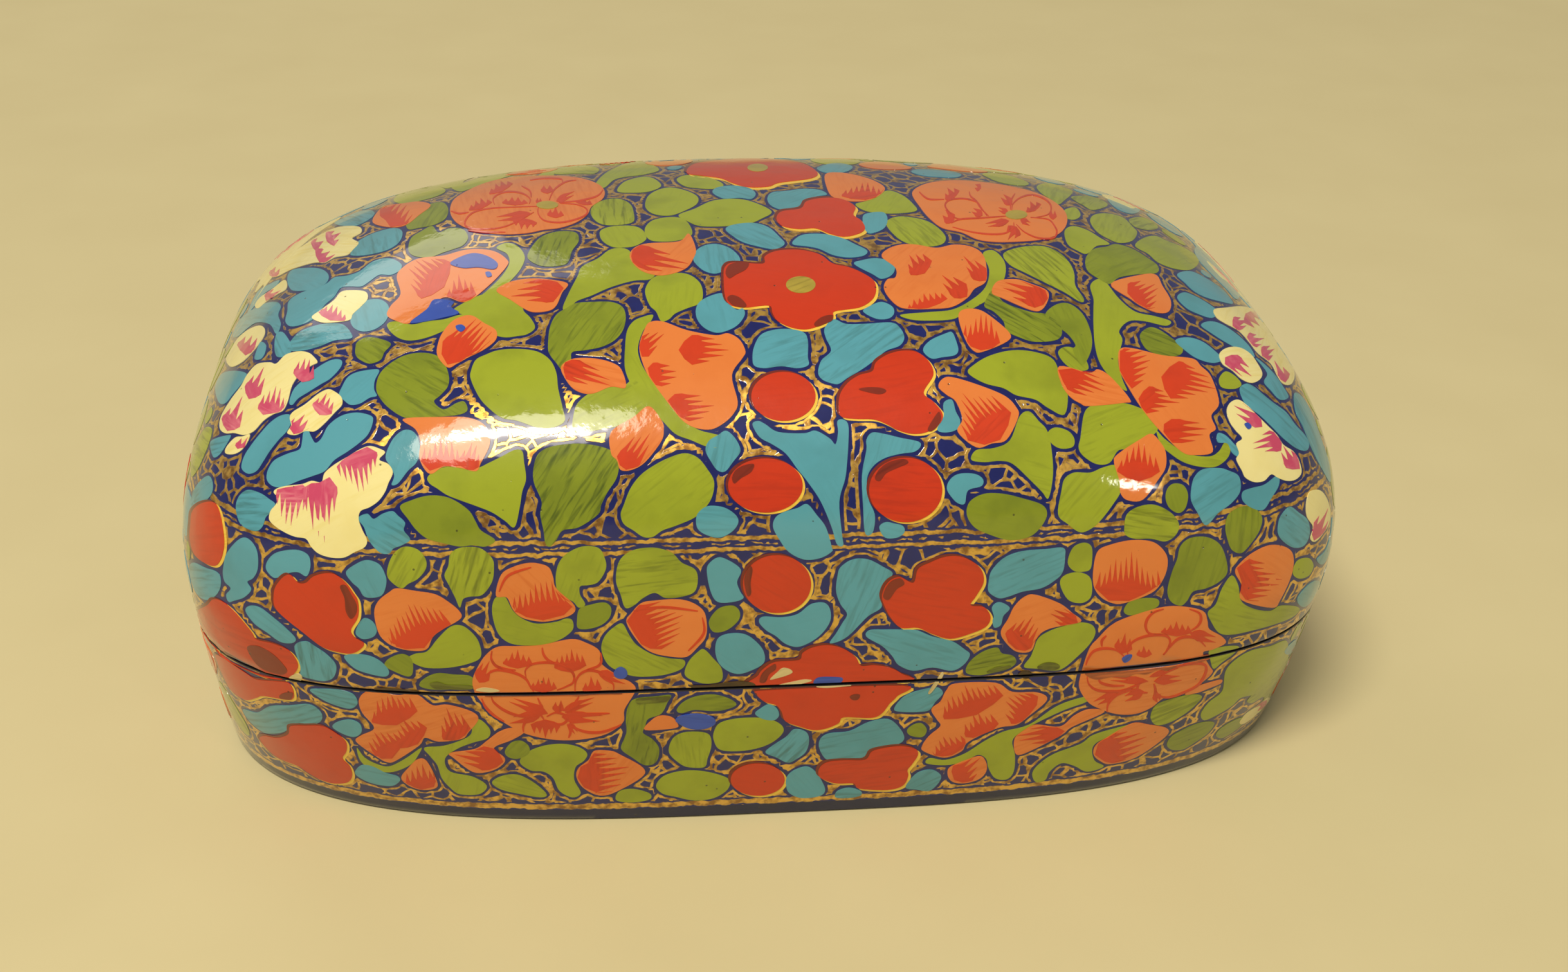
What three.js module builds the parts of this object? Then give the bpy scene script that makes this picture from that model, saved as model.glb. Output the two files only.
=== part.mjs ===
// Lacquered papier-mache box with a lift-off domed lid.
// Millimetres, +Z up, +X along the box, the front at -Y, the origin in the middle of the underside.
import * as THREE from 'three';
import { ParametricGeometry } from 'three/addons/geometries/ParametricGeometry.js';
import { mergeVertices } from 'three/addons/utils/BufferGeometryUtils.js';

// Overall size, at the belly and at the crown.
const LENGTH = 150;
const WIDTH = 92;
const HEIGHT = 67;

// Size of the foot, which the sides draw in to.
const FOOT_LENGTH = 147;
const FOOT_WIDTH = 83.4;

// Levels: the widest one, where the ends start to curve in to the crown, and the long sides' start.
const BELLY_LEVEL = 30;
const SIDE_SPRING_LEVEL = 39.5;

// Powers of the rounded outlines: 2 is an ellipse, and a higher power is squarer.
const FOOT_PLAN_POWER = 3.2;
const BELLY_PLAN_POWER = 4.5;
const CROWN_PLAN_POWER = 2;
const FLARE_POWER = 1.5;
const END_REACH_POWER = 3.65;
const END_RISE_POWER = 2.2;
const SIDE_REACH_POWER = 2.7;
const SIDE_RISE_POWER = 2.2;

// Build of the two shells: the wall, the cut between them, and the floor board under the lower one.
const WALL = 3;
const SEAM_LEVEL = 22.4;
const BOARD_THICKNESS = 2;

// The collar that keeps the lid in place: a strip glued inside the lower shell.
const COLLAR_THICKNESS = 1.6;
const COLLAR_GLUED_HEIGHT = 6.5;
const COLLAR_STAND = 4.5;
const GLUE_GAP = 0.3;
const LID_CLEARANCE = 0.4;

// Fineness of the facets.
const AROUND = 64;
const WALL_STEPS = 4;
const DOME_STEPS = 14;

const mix = (from, to, share) => from + (to - from) * share;
const clamp01 = (value) => Math.min(1, Math.max(0, value));
const signedPower = (value, power) => Math.sign(value) * Math.abs(value) ** power;

// Half-lengths and plan power of the body at a level, drawn in by an inset on every side.
function planAt(level, inset = 0) {
  const crown = HEIGHT - inset;
  const below = clamp01(1 - level / BELLY_LEVEL);
  const above = clamp01((level - BELLY_LEVEL) / (crown - BELLY_LEVEL));
  const draw = below ** FLARE_POWER;
  const sideRise = clamp01((level - SIDE_SPRING_LEVEL) / (crown - SIDE_SPRING_LEVEL));
  const endReach = (1 - above ** END_RISE_POWER) ** (1 / END_REACH_POWER);
  const sideReach = (1 - sideRise ** SIDE_RISE_POWER) ** (1 / SIDE_REACH_POWER);
  return {
    halfLength: (mix(LENGTH, FOOT_LENGTH, draw) / 2 - inset) * endReach,
    halfWidth: (mix(WIDTH, FOOT_WIDTH, draw) / 2 - inset) * sideReach,
    power: mix(mix(BELLY_PLAN_POWER, FOOT_PLAN_POWER, below), CROWN_PLAN_POWER, above ** 2),
  };
}

// One stop of a piece's section: the plan it takes there and the height it lies at.
const stop = (level, inset = 0, height = level) => ({ ...planAt(level, inset), height });
const onAxis = (height) => ({ halfLength: 0, halfWidth: 0, power: 2, height });

function steps(from, to, count) {
  return Array.from({ length: count + 1 }, (_, i) => mix(from, to, i / count));
}

// Levels from the seam to the crown, closer together where the surface turns flat.
function domeLevels(inset) {
  const quarter = Math.PI / 2;
  const rise = steps(0, quarter, DOME_STEPS).slice(1, -1);
  const wall = steps(SEAM_LEVEL, BELLY_LEVEL, WALL_STEPS);
  return [...wall, ...rise.map((turn) => mix(BELLY_LEVEL, HEIGHT - inset, Math.sin(turn)))];
}

// Closed body whose section goes through the stops while its plan follows the box's outline.
function shellBody(stops) {
  const surface = (u, v, target) => {
    const { halfLength, halfWidth, power, height } = stops[Math.round((1 - v) * (stops.length - 1))];
    const turn = 2 * Math.PI * (Math.round(u * AROUND) % AROUND) / AROUND;
    const x = halfLength * signedPower(Math.cos(turn), 2 / power);
    const y = halfWidth * signedPower(Math.sin(turn), 2 / power);
    target.set(x, y, height);
  };
  const geometry = new ParametricGeometry(surface, AROUND, stops.length - 1);
  geometry.deleteAttribute('normal');
  geometry.deleteAttribute('uv');
  return dropFlatTriangles(mergeVertices(geometry));
}

// The axis ends of a section leave triangles with two corners in one place: they are dropped.
function dropFlatTriangles(geometry) {
  const corners = geometry.index.array;
  const kept = [];
  for (let i = 0; i < corners.length; i += 3) {
    const [a, b, c] = corners.slice(i, i + 3);
    if (a !== b && b !== c && c !== a) kept.push(a, b, c);
  }
  geometry.setIndex(kept);
  geometry.computeVertexNormals();
  return geometry;
}

function piece(name, stops, colour, roughness) {
  const material = new THREE.MeshStandardMaterial({ color: colour, roughness, metalness: 0 });
  const mesh = new THREE.Mesh(shellBody(stops), material);
  mesh.name = name;
  return mesh;
}

const NAVY_LACQUER = 0x14204f;
const OLIVE_LACQUER = 0x7f8a22;
const DARK_PAPER = 0x1d1c26;

// Upper shell: one moulding of pasted paper, cut free along the seam.
function lidShell() {
  const outside = domeLevels(0).map((level) => stop(level));
  const inside = domeLevels(WALL).map((level) => stop(level, WALL));
  const section = [onAxis(HEIGHT), ...outside.reverse(), ...inside, onAxis(HEIGHT - WALL)];
  return piece('lid_shell', section, OLIVE_LACQUER, 0.15);
}

// Lower shell: the wall below the seam, standing on the floor board.
function baseShell() {
  const levels = steps(BOARD_THICKNESS, SEAM_LEVEL, WALL_STEPS);
  const outside = levels.map((level) => stop(level));
  const inside = levels.map((level) => stop(level, WALL));
  const section = [...outside.reverse(), ...inside, outside[0]];
  return piece('base_shell', section, OLIVE_LACQUER, 0.15);
}

// Floor board: flat pasted board that closes the lower shell, its edge left plain below the pattern.
function baseBoard() {
  const section = [onAxis(BOARD_THICKNESS), stop(BOARD_THICKNESS), stop(0), onAxis(0)];
  return piece('base_board', section, NAVY_LACQUER, 0.25);
}

// Collar: follows the lower shell's wall up to the seam, then stands straight so the lid lifts off it.
function rimCollar() {
  const glued = steps(SEAM_LEVEL - COLLAR_GLUED_HEIGHT, SEAM_LEVEL, 2);
  const top = SEAM_LEVEL + COLLAR_STAND;
  const seat = WALL + GLUE_GAP;
  const free = WALL + LID_CLEARANCE;
  const outside = glued.map((level) => stop(level, seat));
  const stand = [stop(SEAM_LEVEL, free), stop(SEAM_LEVEL, free, top)];
  const back = stop(SEAM_LEVEL, free + COLLAR_THICKNESS, top);
  const inside = glued.map((level) => stop(level, seat + COLLAR_THICKNESS));
  const section = [...stand.reverse(), ...outside.reverse(), ...inside, back, stand[0]];
  return piece('rim_collar', section, DARK_PAPER, 0.6);
}

const box = new THREE.Group();
const base = new THREE.Group();
const lid = new THREE.Group();
base.add(baseBoard(), baseShell(), rimCollar());
lid.add(lidShell());
box.add(base, lid);

export default box;
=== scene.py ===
import math
import random

import bpy
import numpy as np
from mathutils import Matrix, Vector
from mathutils.bvhtree import BVHTree
from mathutils.geometry import delaunay_2d_cdt
from mathutils.kdtree import KDTree


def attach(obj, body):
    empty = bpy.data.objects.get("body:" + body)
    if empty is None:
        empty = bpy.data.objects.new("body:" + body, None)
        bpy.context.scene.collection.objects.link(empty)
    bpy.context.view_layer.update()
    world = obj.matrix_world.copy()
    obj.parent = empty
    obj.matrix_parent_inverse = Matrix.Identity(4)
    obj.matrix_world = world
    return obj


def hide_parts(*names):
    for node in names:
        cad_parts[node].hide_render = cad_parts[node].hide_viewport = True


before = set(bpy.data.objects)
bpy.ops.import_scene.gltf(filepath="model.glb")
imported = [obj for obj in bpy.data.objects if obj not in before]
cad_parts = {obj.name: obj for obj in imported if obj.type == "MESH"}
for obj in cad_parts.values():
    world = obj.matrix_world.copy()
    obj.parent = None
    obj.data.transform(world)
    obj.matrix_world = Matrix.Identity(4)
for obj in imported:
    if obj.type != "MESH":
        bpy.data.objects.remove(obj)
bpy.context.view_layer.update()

# Camera. It stands where the photograph was taken from, to the left and above, rolled a little.
# The painted motifs below are placed by the pixel at which it sees them, so it comes first.
PHOTO_MIDDLE_X = 1219
PHOTO_MIDDLE_Y = 756
PHOTO_WIDTH = 2438
SENSOR_WIDTH = 36
LENS = 46.953
LOOKS_AT = Vector((0.004011, 0, 0.025097))
DISTANCE = 0.28786
ELEVATION = math.radians(28.748)
YAW = math.radians(-6.544)
ROLL = math.radians(1.591)

level_reach = math.cos(ELEVATION)
back = Vector((math.sin(YAW) * level_reach, -math.cos(YAW) * level_reach, math.sin(ELEVATION)))
level_right = (-back).cross(Vector((0, 0, 1))).normalized()
level_up = level_right.cross(-back)
right = level_right * math.cos(ROLL) + level_up * math.sin(ROLL)
up = level_up * math.cos(ROLL) - level_right * math.sin(ROLL)
eye = LOOKS_AT + back * DISTANCE

camera = bpy.data.objects.new("camera", bpy.data.cameras.new("camera"))
camera.data.lens = LENS
camera.data.sensor_width = SENSOR_WIDTH
camera.data.clip_start = 0.01
camera.data.clip_end = 20
camera.matrix_world = Matrix.Translation(eye) @ Matrix((right, up, back)).transposed().to_4x4()
bpy.context.collection.objects.link(camera)
bpy.context.scene.camera = camera

# Lid shell. Paper pulp pasted over a mould, cut free along the seam, then filled and ground smooth.
# It is a dome with flat-sided walls, 3 mm thick, and lifts off the lower shell.
LENGTH = 0.150
WIDTH = 0.092
HEIGHT = 0.067
FOOT_LENGTH = 0.147
FOOT_WIDTH = 0.0834
BELLY_LEVEL = 0.030
SIDE_SPRING_LEVEL = 0.0395
SEAM_LEVEL = 0.0224
SEAM_GAP = 0.00013
WALL = 0.003
DRAW_POWER = 1.5
RISE_POWER = 2.2
END_POWER = 3.65
SIDE_POWER = 2.7
WALL_PLAN_POWER = 4.5
FOOT_PLAN_POWER = 3.2
CROWN_PLAN_POWER = 2
LIP_EASE = 0.00006
LIP_ROUND = 0.00022
LIP_ROW = 0.0002
INSIDE_ROW = 0.0004
COLUMNS = 760
DOME_ROWS = 150
WALL_ROW = 0.00060
INSIDE_ROWS = 24
POLE_CROWDING = 1.7
FINE_TURNS = 7200
SHARP_FOLD = math.radians(38)


def unit(value):
    return min(1, max(0, value))


def plan_at(level, inset=0):
    """Half-length, half-width and plan power of the body at a level, drawn in by an inset."""
    crown = HEIGHT - inset
    below = unit(1 - level / BELLY_LEVEL)
    above = unit((level - BELLY_LEVEL) / (crown - BELLY_LEVEL))
    side_rise = unit((level - SIDE_SPRING_LEVEL) / (crown - SIDE_SPRING_LEVEL))
    draw = below ** DRAW_POWER
    half_length = (LENGTH + (FOOT_LENGTH - LENGTH) * draw) / 2 - inset
    half_width = (WIDTH + (FOOT_WIDTH - WIDTH) * draw) / 2 - inset
    end_reach = (1 - above ** RISE_POWER) ** (1 / END_POWER)
    side_reach = (1 - side_rise ** RISE_POWER) ** (1 / SIDE_POWER)
    wall_power = WALL_PLAN_POWER + (FOOT_PLAN_POWER - WALL_PLAN_POWER) * below
    power = wall_power + (CROWN_PLAN_POWER - wall_power) * above ** 2
    return half_length * end_reach, half_width * side_reach, power


def ring(level, inset=0, height=None):
    """Closed ring of points round the body, one for each of the directions."""
    half_length, half_width, power = plan_at(level, inset)
    x = np.cos(directions)
    y = np.sin(directions)
    reach = np.zeros(len(directions))
    if half_length > 0:
        reach = (abs(x / half_length) ** power + abs(y / half_width) ** power) ** (-1 / power)
    return np.column_stack((x * reach, y * reach, np.full(len(x), level if height is None else height)))


directions = np.linspace(0, 2 * math.pi, FINE_TURNS + 1)
belly = ring(BELLY_LEVEL)
walked = np.concatenate(([0], np.cumsum(np.linalg.norm(np.diff(belly, axis=0), axis=1))))
directions = np.interp(np.arange(COLUMNS) / COLUMNS * walked[-1], walked, directions)


def dome_levels(inset, first, rows):
    """Levels from first up to the crown, crowded where the dome turns flat."""
    wall_rows = max(3, round((BELLY_LEVEL - first) / WALL_ROW * rows / DOME_ROWS))
    wall = [first + (BELLY_LEVEL - first) * i / wall_rows for i in range(wall_rows)]
    turns = [math.pi / 2 * (1 - (i / rows) ** POLE_CROWDING) for i in range(rows, -1, -1)]
    return wall + [BELLY_LEVEL + (HEIGHT - inset - BELLY_LEVEL) * math.sin(turn) for turn in turns]


def add_piece(name, points, faces):
    mesh = bpy.data.meshes.new(name)
    mesh.from_pydata([tuple(p) for p in points], [], faces)
    mesh.validate()
    mesh.shade_smooth()
    mesh.set_sharp_from_angle(angle=SHARP_FOLD)
    piece = bpy.data.objects.new(name, mesh)
    bpy.context.collection.objects.link(piece)
    return piece


def shell(name, rings, closed=False):
    """Skin through rings of points: a ring of no size is one point, and closed joins last to first."""
    points = []
    starts = []
    for loop in rings:
        starts.append(len(points))
        lone = np.ptp(loop[:, 0]) < 1e-7
        points.extend(loop[:1] if lone else loop)
    starts.append(len(points))
    faces = []
    pairs = list(zip(range(len(rings) - 1), range(1, len(rings))))
    if closed:
        pairs.append((len(rings) - 1, 0))
    for lower, upper in pairs:
        lone_lower = starts[lower + 1] - starts[lower] == 1
        lone_upper = starts[upper + 1] - starts[upper] == 1
        for i in range(COLUMNS):
            j = (i + 1) % COLUMNS
            a = starts[lower] + (0 if lone_lower else i)
            b = starts[lower] + (0 if lone_lower else j)
            c = starts[upper] + (0 if lone_upper else j)
            d = starts[upper] + (0 if lone_upper else i)
            faces.append([a, c, d] if lone_lower else [a, b, c] if lone_upper else [a, b, c, d])
    return add_piece(name, points, faces)


lid_foot = SEAM_LEVEL + SEAM_GAP
lid_outside = [ring(level) for level in dome_levels(0, lid_foot + LIP_ROW, DOME_ROWS)]
lid_lip = [ring(lid_foot + LIP_EASE, LIP_EASE), ring(lid_foot, LIP_ROUND), ring(lid_foot, WALL)]
lid_inside = [ring(level, WALL) for level in dome_levels(WALL, lid_foot + INSIDE_ROW, INSIDE_ROWS)]
lid_shell = shell("lid_shell_ground", lid_inside[::-1] + lid_lip[::-1] + lid_outside)
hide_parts("lid_shell")
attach(lid_shell, "lid")

# Lower shell. The same pasted paper, from the seam down to the floor board, drawn in to the foot.
# It carries the lower half of the pattern and a gold line round its foot.
BOARD_THICKNESS = 0.002
BASE_ROWS = 36
BASE_INSIDE_ROWS = 6
base_rim = SEAM_LEVEL - SEAM_GAP
base_levels = np.linspace(BOARD_THICKNESS, base_rim - LIP_ROW, BASE_ROWS)
base_inside_levels = np.linspace(base_rim - INSIDE_ROW, BOARD_THICKNESS, BASE_INSIDE_ROWS)
base_outside = [ring(level) for level in base_levels]
base_lip = [ring(base_rim - LIP_EASE, LIP_EASE), ring(base_rim, LIP_ROUND), ring(base_rim, WALL)]
base_inside = [ring(level, WALL) for level in base_inside_levels]
base_shell = shell("base_shell_ground", base_outside + base_lip + base_inside, closed=True)
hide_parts("base_shell")
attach(base_shell, "base")

# Floor board. Flat pasted board glued under the lower shell, its edge left plain navy.
# Its lower edge is eased, and its upper face closes the hollow of the lower shell.
BOARD_EASE = 0.0003
middle_ring = np.zeros((COLUMNS, 3))
board_rings = [middle_ring, ring(0, BOARD_EASE)]
board_rings += [ring(BOARD_EASE), ring(BOARD_THICKNESS / 2), ring(BOARD_THICKNESS)]
board_rings += [ring(BOARD_THICKNESS, WALL), middle_ring + [0, 0, BOARD_THICKNESS]]
floor_board = shell("floor_board", board_rings)
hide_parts("base_board")
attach(floor_board, "base")

# Rim collar. A strip of board glued inside the lower shell and standing above the seam.
# The lid drops over it, which keeps the two halves in line.
COLLAR_THICKNESS = 0.0016
COLLAR_FOOT = SEAM_LEVEL - 0.0065
COLLAR_TOP = SEAM_LEVEL + 0.0045
COLLAR_EASE = 0.0004
COLLAR_ROWS = 4
SEAT = WALL + 0.0003
FREE = WALL + 0.0004
collar_levels = np.linspace(COLLAR_FOOT, SEAM_LEVEL, COLLAR_ROWS)
collar_back_levels = np.linspace(SEAM_LEVEL, COLLAR_FOOT, COLLAR_ROWS)
collar_rings = [ring(level, SEAT) for level in collar_levels]
for inset, height in (
    (FREE, SEAM_LEVEL),
    (FREE, COLLAR_TOP - COLLAR_EASE),
    (FREE + COLLAR_EASE, COLLAR_TOP),
    (FREE + COLLAR_THICKNESS - COLLAR_EASE, COLLAR_TOP),
    (FREE + COLLAR_THICKNESS, COLLAR_TOP - COLLAR_EASE),
):
    collar_rings.append(ring(SEAM_LEVEL, inset, height))
collar_rings += [ring(level, SEAT + COLLAR_THICKNESS) for level in collar_back_levels]
rim_collar = shell("rim_collar_strip", collar_rings, closed=True)
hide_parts("rim_collar")
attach(rim_collar, "base")

# Red flowers. Painted in body colour over the navy ground, each with a yellow crescent left on its
# lit edge and a brown one on its shaded edge, then varnished over.
RED = "C0330F"
RED_STREAK = "A82C10"
RED_SHADE = "6E2418"
RED_YELLOW = "E6C24A"
BODY_ROWS = 24
BODY_ROW = 0.0008
body_rings = [ring(level) for level in np.linspace(0, SEAM_LEVEL, BODY_ROWS)]
body_rings += [ring(level) for level in dome_levels(0, SEAM_LEVEL + BODY_ROW, DOME_ROWS)]
body_points = np.vstack(body_rings)
body_faces = []
for row in range(len(body_rings) - 1):
    low = row * COLUMNS
    high = low + COLUMNS
    for i in range(COLUMNS):
        j = (i + 1) % COLUMNS
        body_faces.append((low + i, low + j, high + j, high + i))
surface = BVHTree.FromPolygons([tuple(p) for p in body_points], body_faces)
edge_points = []
ground_points = []
ground_faces = []
at_ends = []
BOX_MIDDLE_X = 1190
BOX_MIDDLE_Y = 760
DRAW_IN = 0.004
DRAW_IN_STEPS = 60
OVAL_POINTS = 14
SEAM_MARGIN = 0.0003
FILM_GRID = 0.0013
FILM_ROOT = 0.00012
RAY_START = 0.02
EDGE_STEP = 0.0004
END_HALF = 0.033
END_TOP = 0.0455
END_SHIFT = 0.003
END_OUTSIDE = 0.12
FRONT_DEPTH = 0.02


def seen_at(x, y):
    """Point of the box that the camera sees at a pixel, or the nearest one just inside its outline."""
    for step in range(DRAW_IN_STEPS):
        near_x = x + (BOX_MIDDLE_X - x) * step * DRAW_IN
        near_y = y + (BOX_MIDDLE_Y - y) * step * DRAW_IN
        ray = -back * (PHOTO_WIDTH * LENS / SENSOR_WIDTH)
        ray += right * (near_x - PHOTO_MIDDLE_X) - up * (near_y - PHOTO_MIDDLE_Y)
        hit = surface.ray_cast(eye, ray.normalized())[0]
        if hit:
            return hit
    return None


def pixels(words):
    return [tuple(float(v) for v in word.split(",")) for word in words.split()]


def rims_of(table):
    return [pixels(words) for words in table.values()]


def oval(x, y, wide, tall):
    """Outline of an oval round a pixel, its half-width and half-height in pixels."""
    turns = [2 * math.pi * i / OVAL_POINTS for i in range(OVAL_POINTS)]
    return [(x + wide * math.cos(turn), y + tall * math.sin(turn)) for turn in turns]


def curve_point(a, b, c, d, t):
    """Point a share t of the way from b to c, on the smooth curve that also passes through a and d."""
    bend = 2 * a - 5 * b + 4 * c - d
    twist = 3 * b - a - 3 * c + d
    return 0.5 * (2 * b + (c - a) * t + bend * t * t + twist * t ** 3)


def rounded(rim, steps=5):
    """Smooth closed curve through the given points."""
    p = np.array(rim, float)
    n = len(p)
    curve = []
    for i in range(n):
        around = (p[i - 1], p[i], p[(i + 1) % n], p[(i + 2) % n])
        curve += [curve_point(*around, k / steps) for k in range(steps)]
    return curve


def half_of(rim, keep_above):
    """The part of a rim above or below the seam."""
    level = SEAM_LEVEL + SEAM_MARGIN if keep_above else SEAM_LEVEL - SEAM_MARGIN
    kept = []
    for here, ahead in zip(rim, rim[1:] + rim[:1]):
        inside = (here.z > level) == keep_above
        if inside:
            kept.append(here)
        if inside != ((ahead.z > level) == keep_above):
            kept.append(here.lerp(ahead, (level - here.z) / (ahead.z - here.z)))
    return kept


def inside_rim(x, y, rim):
    inside = False
    for (ax, ay), (bx, by) in zip(rim, rim[1:] + rim[:1]):
        if (ay > y) != (by > y) and x < (bx - ax) * (y - ay) / (by - ay) + ax:
            inside = not inside
    return inside


def points_inside(flat):
    """Grid of points inside a flat rim and clear of it, with which a film follows the curved shell."""
    us = [u for u, v in flat]
    vs = [v for u, v in flat]
    clear = (FILM_GRID * 0.4) ** 2
    inner = []
    for u in np.arange(min(us) + FILM_GRID / 2, max(us), FILM_GRID):
        for v in np.arange(min(vs) + FILM_GRID / 2, max(vs), FILM_GRID):
            if inside_rim(u, v, flat) and min((u - a) ** 2 + (v - b) ** 2 for a, b in flat) > clear:
                inner.append((u, v))
    return inner


def paint_film(rim, lift):
    """Thin closed film of paint that lies on the box inside a rim: its points and faces, and for each
    point how far it lies along and across the brush's way, with a number that is the motif's own."""
    middle = sum(rim, Vector()) / len(rim)
    foot, outward, *_ = surface.find_nearest(middle)
    across = outward.cross(Vector((0.31, 0.17, 0.93))).normalized()
    along = outward.cross(across)
    flat = [((p - foot).dot(across), (p - foot).dot(along)) for p in rim]
    spread = np.cov(np.array(flat).T)
    way = math.atan2(2 * spread[0][1], spread[0][0] - spread[1][1]) / 2
    # The motif's place gives it a number between 0 and 1, which sets how streaky its colour is.
    own = (foot.x * 7919 + foot.y * 5923 + foot.z * 4241) % 1
    in_mm = [Vector((u * 1000, v * 1000)) for u, v in flat + points_inside(flat)]
    laid, _, triangles, *_ = delaunay_2d_cdt(in_mm, [], [list(range(len(flat)))], 1, 1e-4)
    tops = []
    bottoms = []
    brushed = []
    for p in laid:
        lengthwise = p.x * math.cos(way) + p.y * math.sin(way)
        crosswise = p.y * math.cos(way) - p.x * math.sin(way)
        brushed.append((lengthwise, crosswise, own))
        start = foot + across * (p.x / 1000) + along * (p.y / 1000) + outward * RAY_START
        hit, normal, *_ = surface.ray_cast(start, -outward)
        if hit is None:
            hit, normal, *_ = surface.find_nearest(start)
        tops.append(hit + normal * lift)
        bottoms.append(hit - normal * FILM_ROOT)
    count = len(laid)
    faces = []
    edges = {}
    for a, b, c in triangles:
        facing = (tops[b] - tops[a]).cross(tops[c] - tops[a]).dot(outward)
        if facing < 0:
            b, c = c, b
        faces.append((a, b, c))
        faces.append((a + count, c + count, b + count))
        for edge in ((a, b), (b, c), (c, a)):
            edges[edge] = True
    for a, b in edges:
        if (b, a) not in edges:
            faces.append((b, a, a + count, b + count))
    return tops + bottoms, faces, brushed + brushed


def unseen(p, least=0.10):
    """True where the camera can't see the box's surface, or sees it almost along it."""
    outward = surface.find_nearest(p)[1]
    return outward.dot(eye - p) < least * (eye - p).length


def quarter_turned(rim, side):
    """A rim from the middle of the front wall, carried round to one end of the box."""
    turned = []
    for p in rim:
        outside = Vector((side * END_OUTSIDE, side * (p.x - END_SHIFT), p.z))
        hit = surface.ray_cast(outside, Vector((-side, 0, 0)))[0]
        if hit is None:
            return None
        turned.append(hit)
    return turned


def on_front_middle(rim):
    return all(abs(p.x) < END_HALF and p.z < END_TOP and p.y < -FRONT_DEPTH for p in rim)


def empty_films():
    """Points, faces and brush values for the lid's films and for the base's."""
    return {"lid": ([], [], []), "base": ([], [], [])}


def lay(films, rim, lift, half_round=False):
    """Adds a film inside a rim to the lid's films, the base's, or both where it crosses the seam."""
    for body, part in (("lid", half_of(rim, True)), ("base", half_of(rim, False))):
        if len(part) < 4:
            continue
        points, faces, brushed = paint_film(part, lift)
        for turned in (1, -1) if half_round else (1,):
            all_points, all_faces, all_brushed = films[body]
            start = len(all_points)
            all_brushed.extend(brushed)
            all_points.extend(Vector((p.x * turned, p.y * turned, p.z)) for p in points)
            all_faces.extend([tuple(i + start for i in face) for face in faces])


def mark_edge(rim, half_round=False):
    """Keeps close points along a rim, from which the gold line work measures its distance."""
    for here, ahead in zip(rim, rim[1:] + rim[:1]):
        parts = max(1, math.ceil((ahead - here).length / EDGE_STEP))
        for k in range(parts):
            p = here.lerp(ahead, k / parts)
            edge_points.append(p)
            if half_round:
                edge_points.append(Vector((-p.x, -p.y, p.z)))


def make_films(name, films, material, ground):
    """Makes one piece of a colour's films on each body. Films on the bare ground cover it up."""
    for body, (points, faces, brushed) in films.items():
        if not faces:
            continue
        if ground:
            start = len(ground_points)
            ground_points.extend(points)
            ground_faces.extend([tuple(i + start for i in face) for face in faces])
        piece = add_piece(body + "_" + name, points, faces)
        piece.data.materials.append(material)
        brush = piece.data.attributes.new("brush", "FLOAT_VECTOR", "POINT")
        brush.data.foreach_set("vector", np.array(brushed).ravel())
        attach(piece, body)


def paint(name, rims, lift, material, ground=True, copy=True, smooth=5):
    """Paints rims given in pixels on the front. What the camera can't see takes copies of them: the
    same turned half round at the back, and the middle of the wall at both ends."""
    films = empty_films()
    for rim in rims:
        seen = [seen_at(x, y) for x, y in rounded(rim, smooth)]
        seen = [p for p in seen if p is not None]
        if len(seen) < 6:
            continue
        middle = sum(seen, Vector()) / len(seen)
        size = max((p - middle).length for p in seen)
        half_round = copy and unseen(Vector((-middle.x, -middle.y, middle.z)))
        lay(films, seen, lift, half_round)
        if ground:
            mark_edge(seen, half_round)
        # Strokes and edges go to the ends only with a flower that went there before them.
        to_ends = copy and on_front_middle(seen)
        if to_ends and not ground:
            to_ends = any((middle - m).length < s * 0.9 for m, s in at_ends)
        if to_ends:
            if ground:
                at_ends.append((middle, size))
            for side in (1, -1):
                turned = quarter_turned(seen, side)
                if turned:
                    lay(films, turned, lift)
                    if ground:
                        mark_edge(turned)
    make_films(name, films, material, ground)


def shifted(rims, dx, dy):
    return [[(x + dx, y + dy) for x, y in rim] for rim in rims]


def linear(hex_colour):
    """sRGB hex to the linear colour a shader takes."""
    parts = [int(hex_colour[i:i + 2], 16) / 255 for i in (0, 2, 4)]
    return [p / 12.92 if p <= 0.04045 else ((p + 0.055) / 1.055) ** 2.4 for p in parts] + [1]


def empty_material(name):
    material = bpy.data.materials.new(name)
    material.use_nodes = True
    material.node_tree.nodes.clear()
    return material


def add(material, kind, settings=None, links=None):
    """Adds a shader node with its settings, and links its inputs from nodes, which means their first
    output, or from (node, output) pairs."""
    node = material.node_tree.nodes.new("ShaderNode" + kind)
    for key, value in (settings or {}).items():
        if isinstance(key, str) and hasattr(node, key):
            setattr(node, key, value)
        else:
            node.inputs[key].default_value = value
    for key, source in (links or {}).items():
        giver, output = source if isinstance(source, tuple) else (source, 0)
        material.node_tree.links.new(giver.outputs[output], node.inputs[key])
    return node


BRUSH_STREAK = (1 / 5.0, 1 / 0.55, 60)
STREAK_SIZE = 0.004
SPECK_SPACING = 0.0030
SPECK = "2A2410"
RIPPLE = 0.006
GRAIN = 0.0009
VARNISH_COAT = {
    "IOR": 1.5, "Specular IOR Level": 0.1, "Coat Weight": 1.0, "Coat Roughness": 0.075, "Coat IOR": 1.5,
}
VARNISH_RELIEF = {"Strength": 0.35, "Distance": 0.00035}


def ramp(material, start, end, value):
    """Node that goes from 0 to 1 while the value goes from start to end."""
    return add(material, "MapRange", {"From Min": start, "From Max": end}, {"Value": value})


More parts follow.
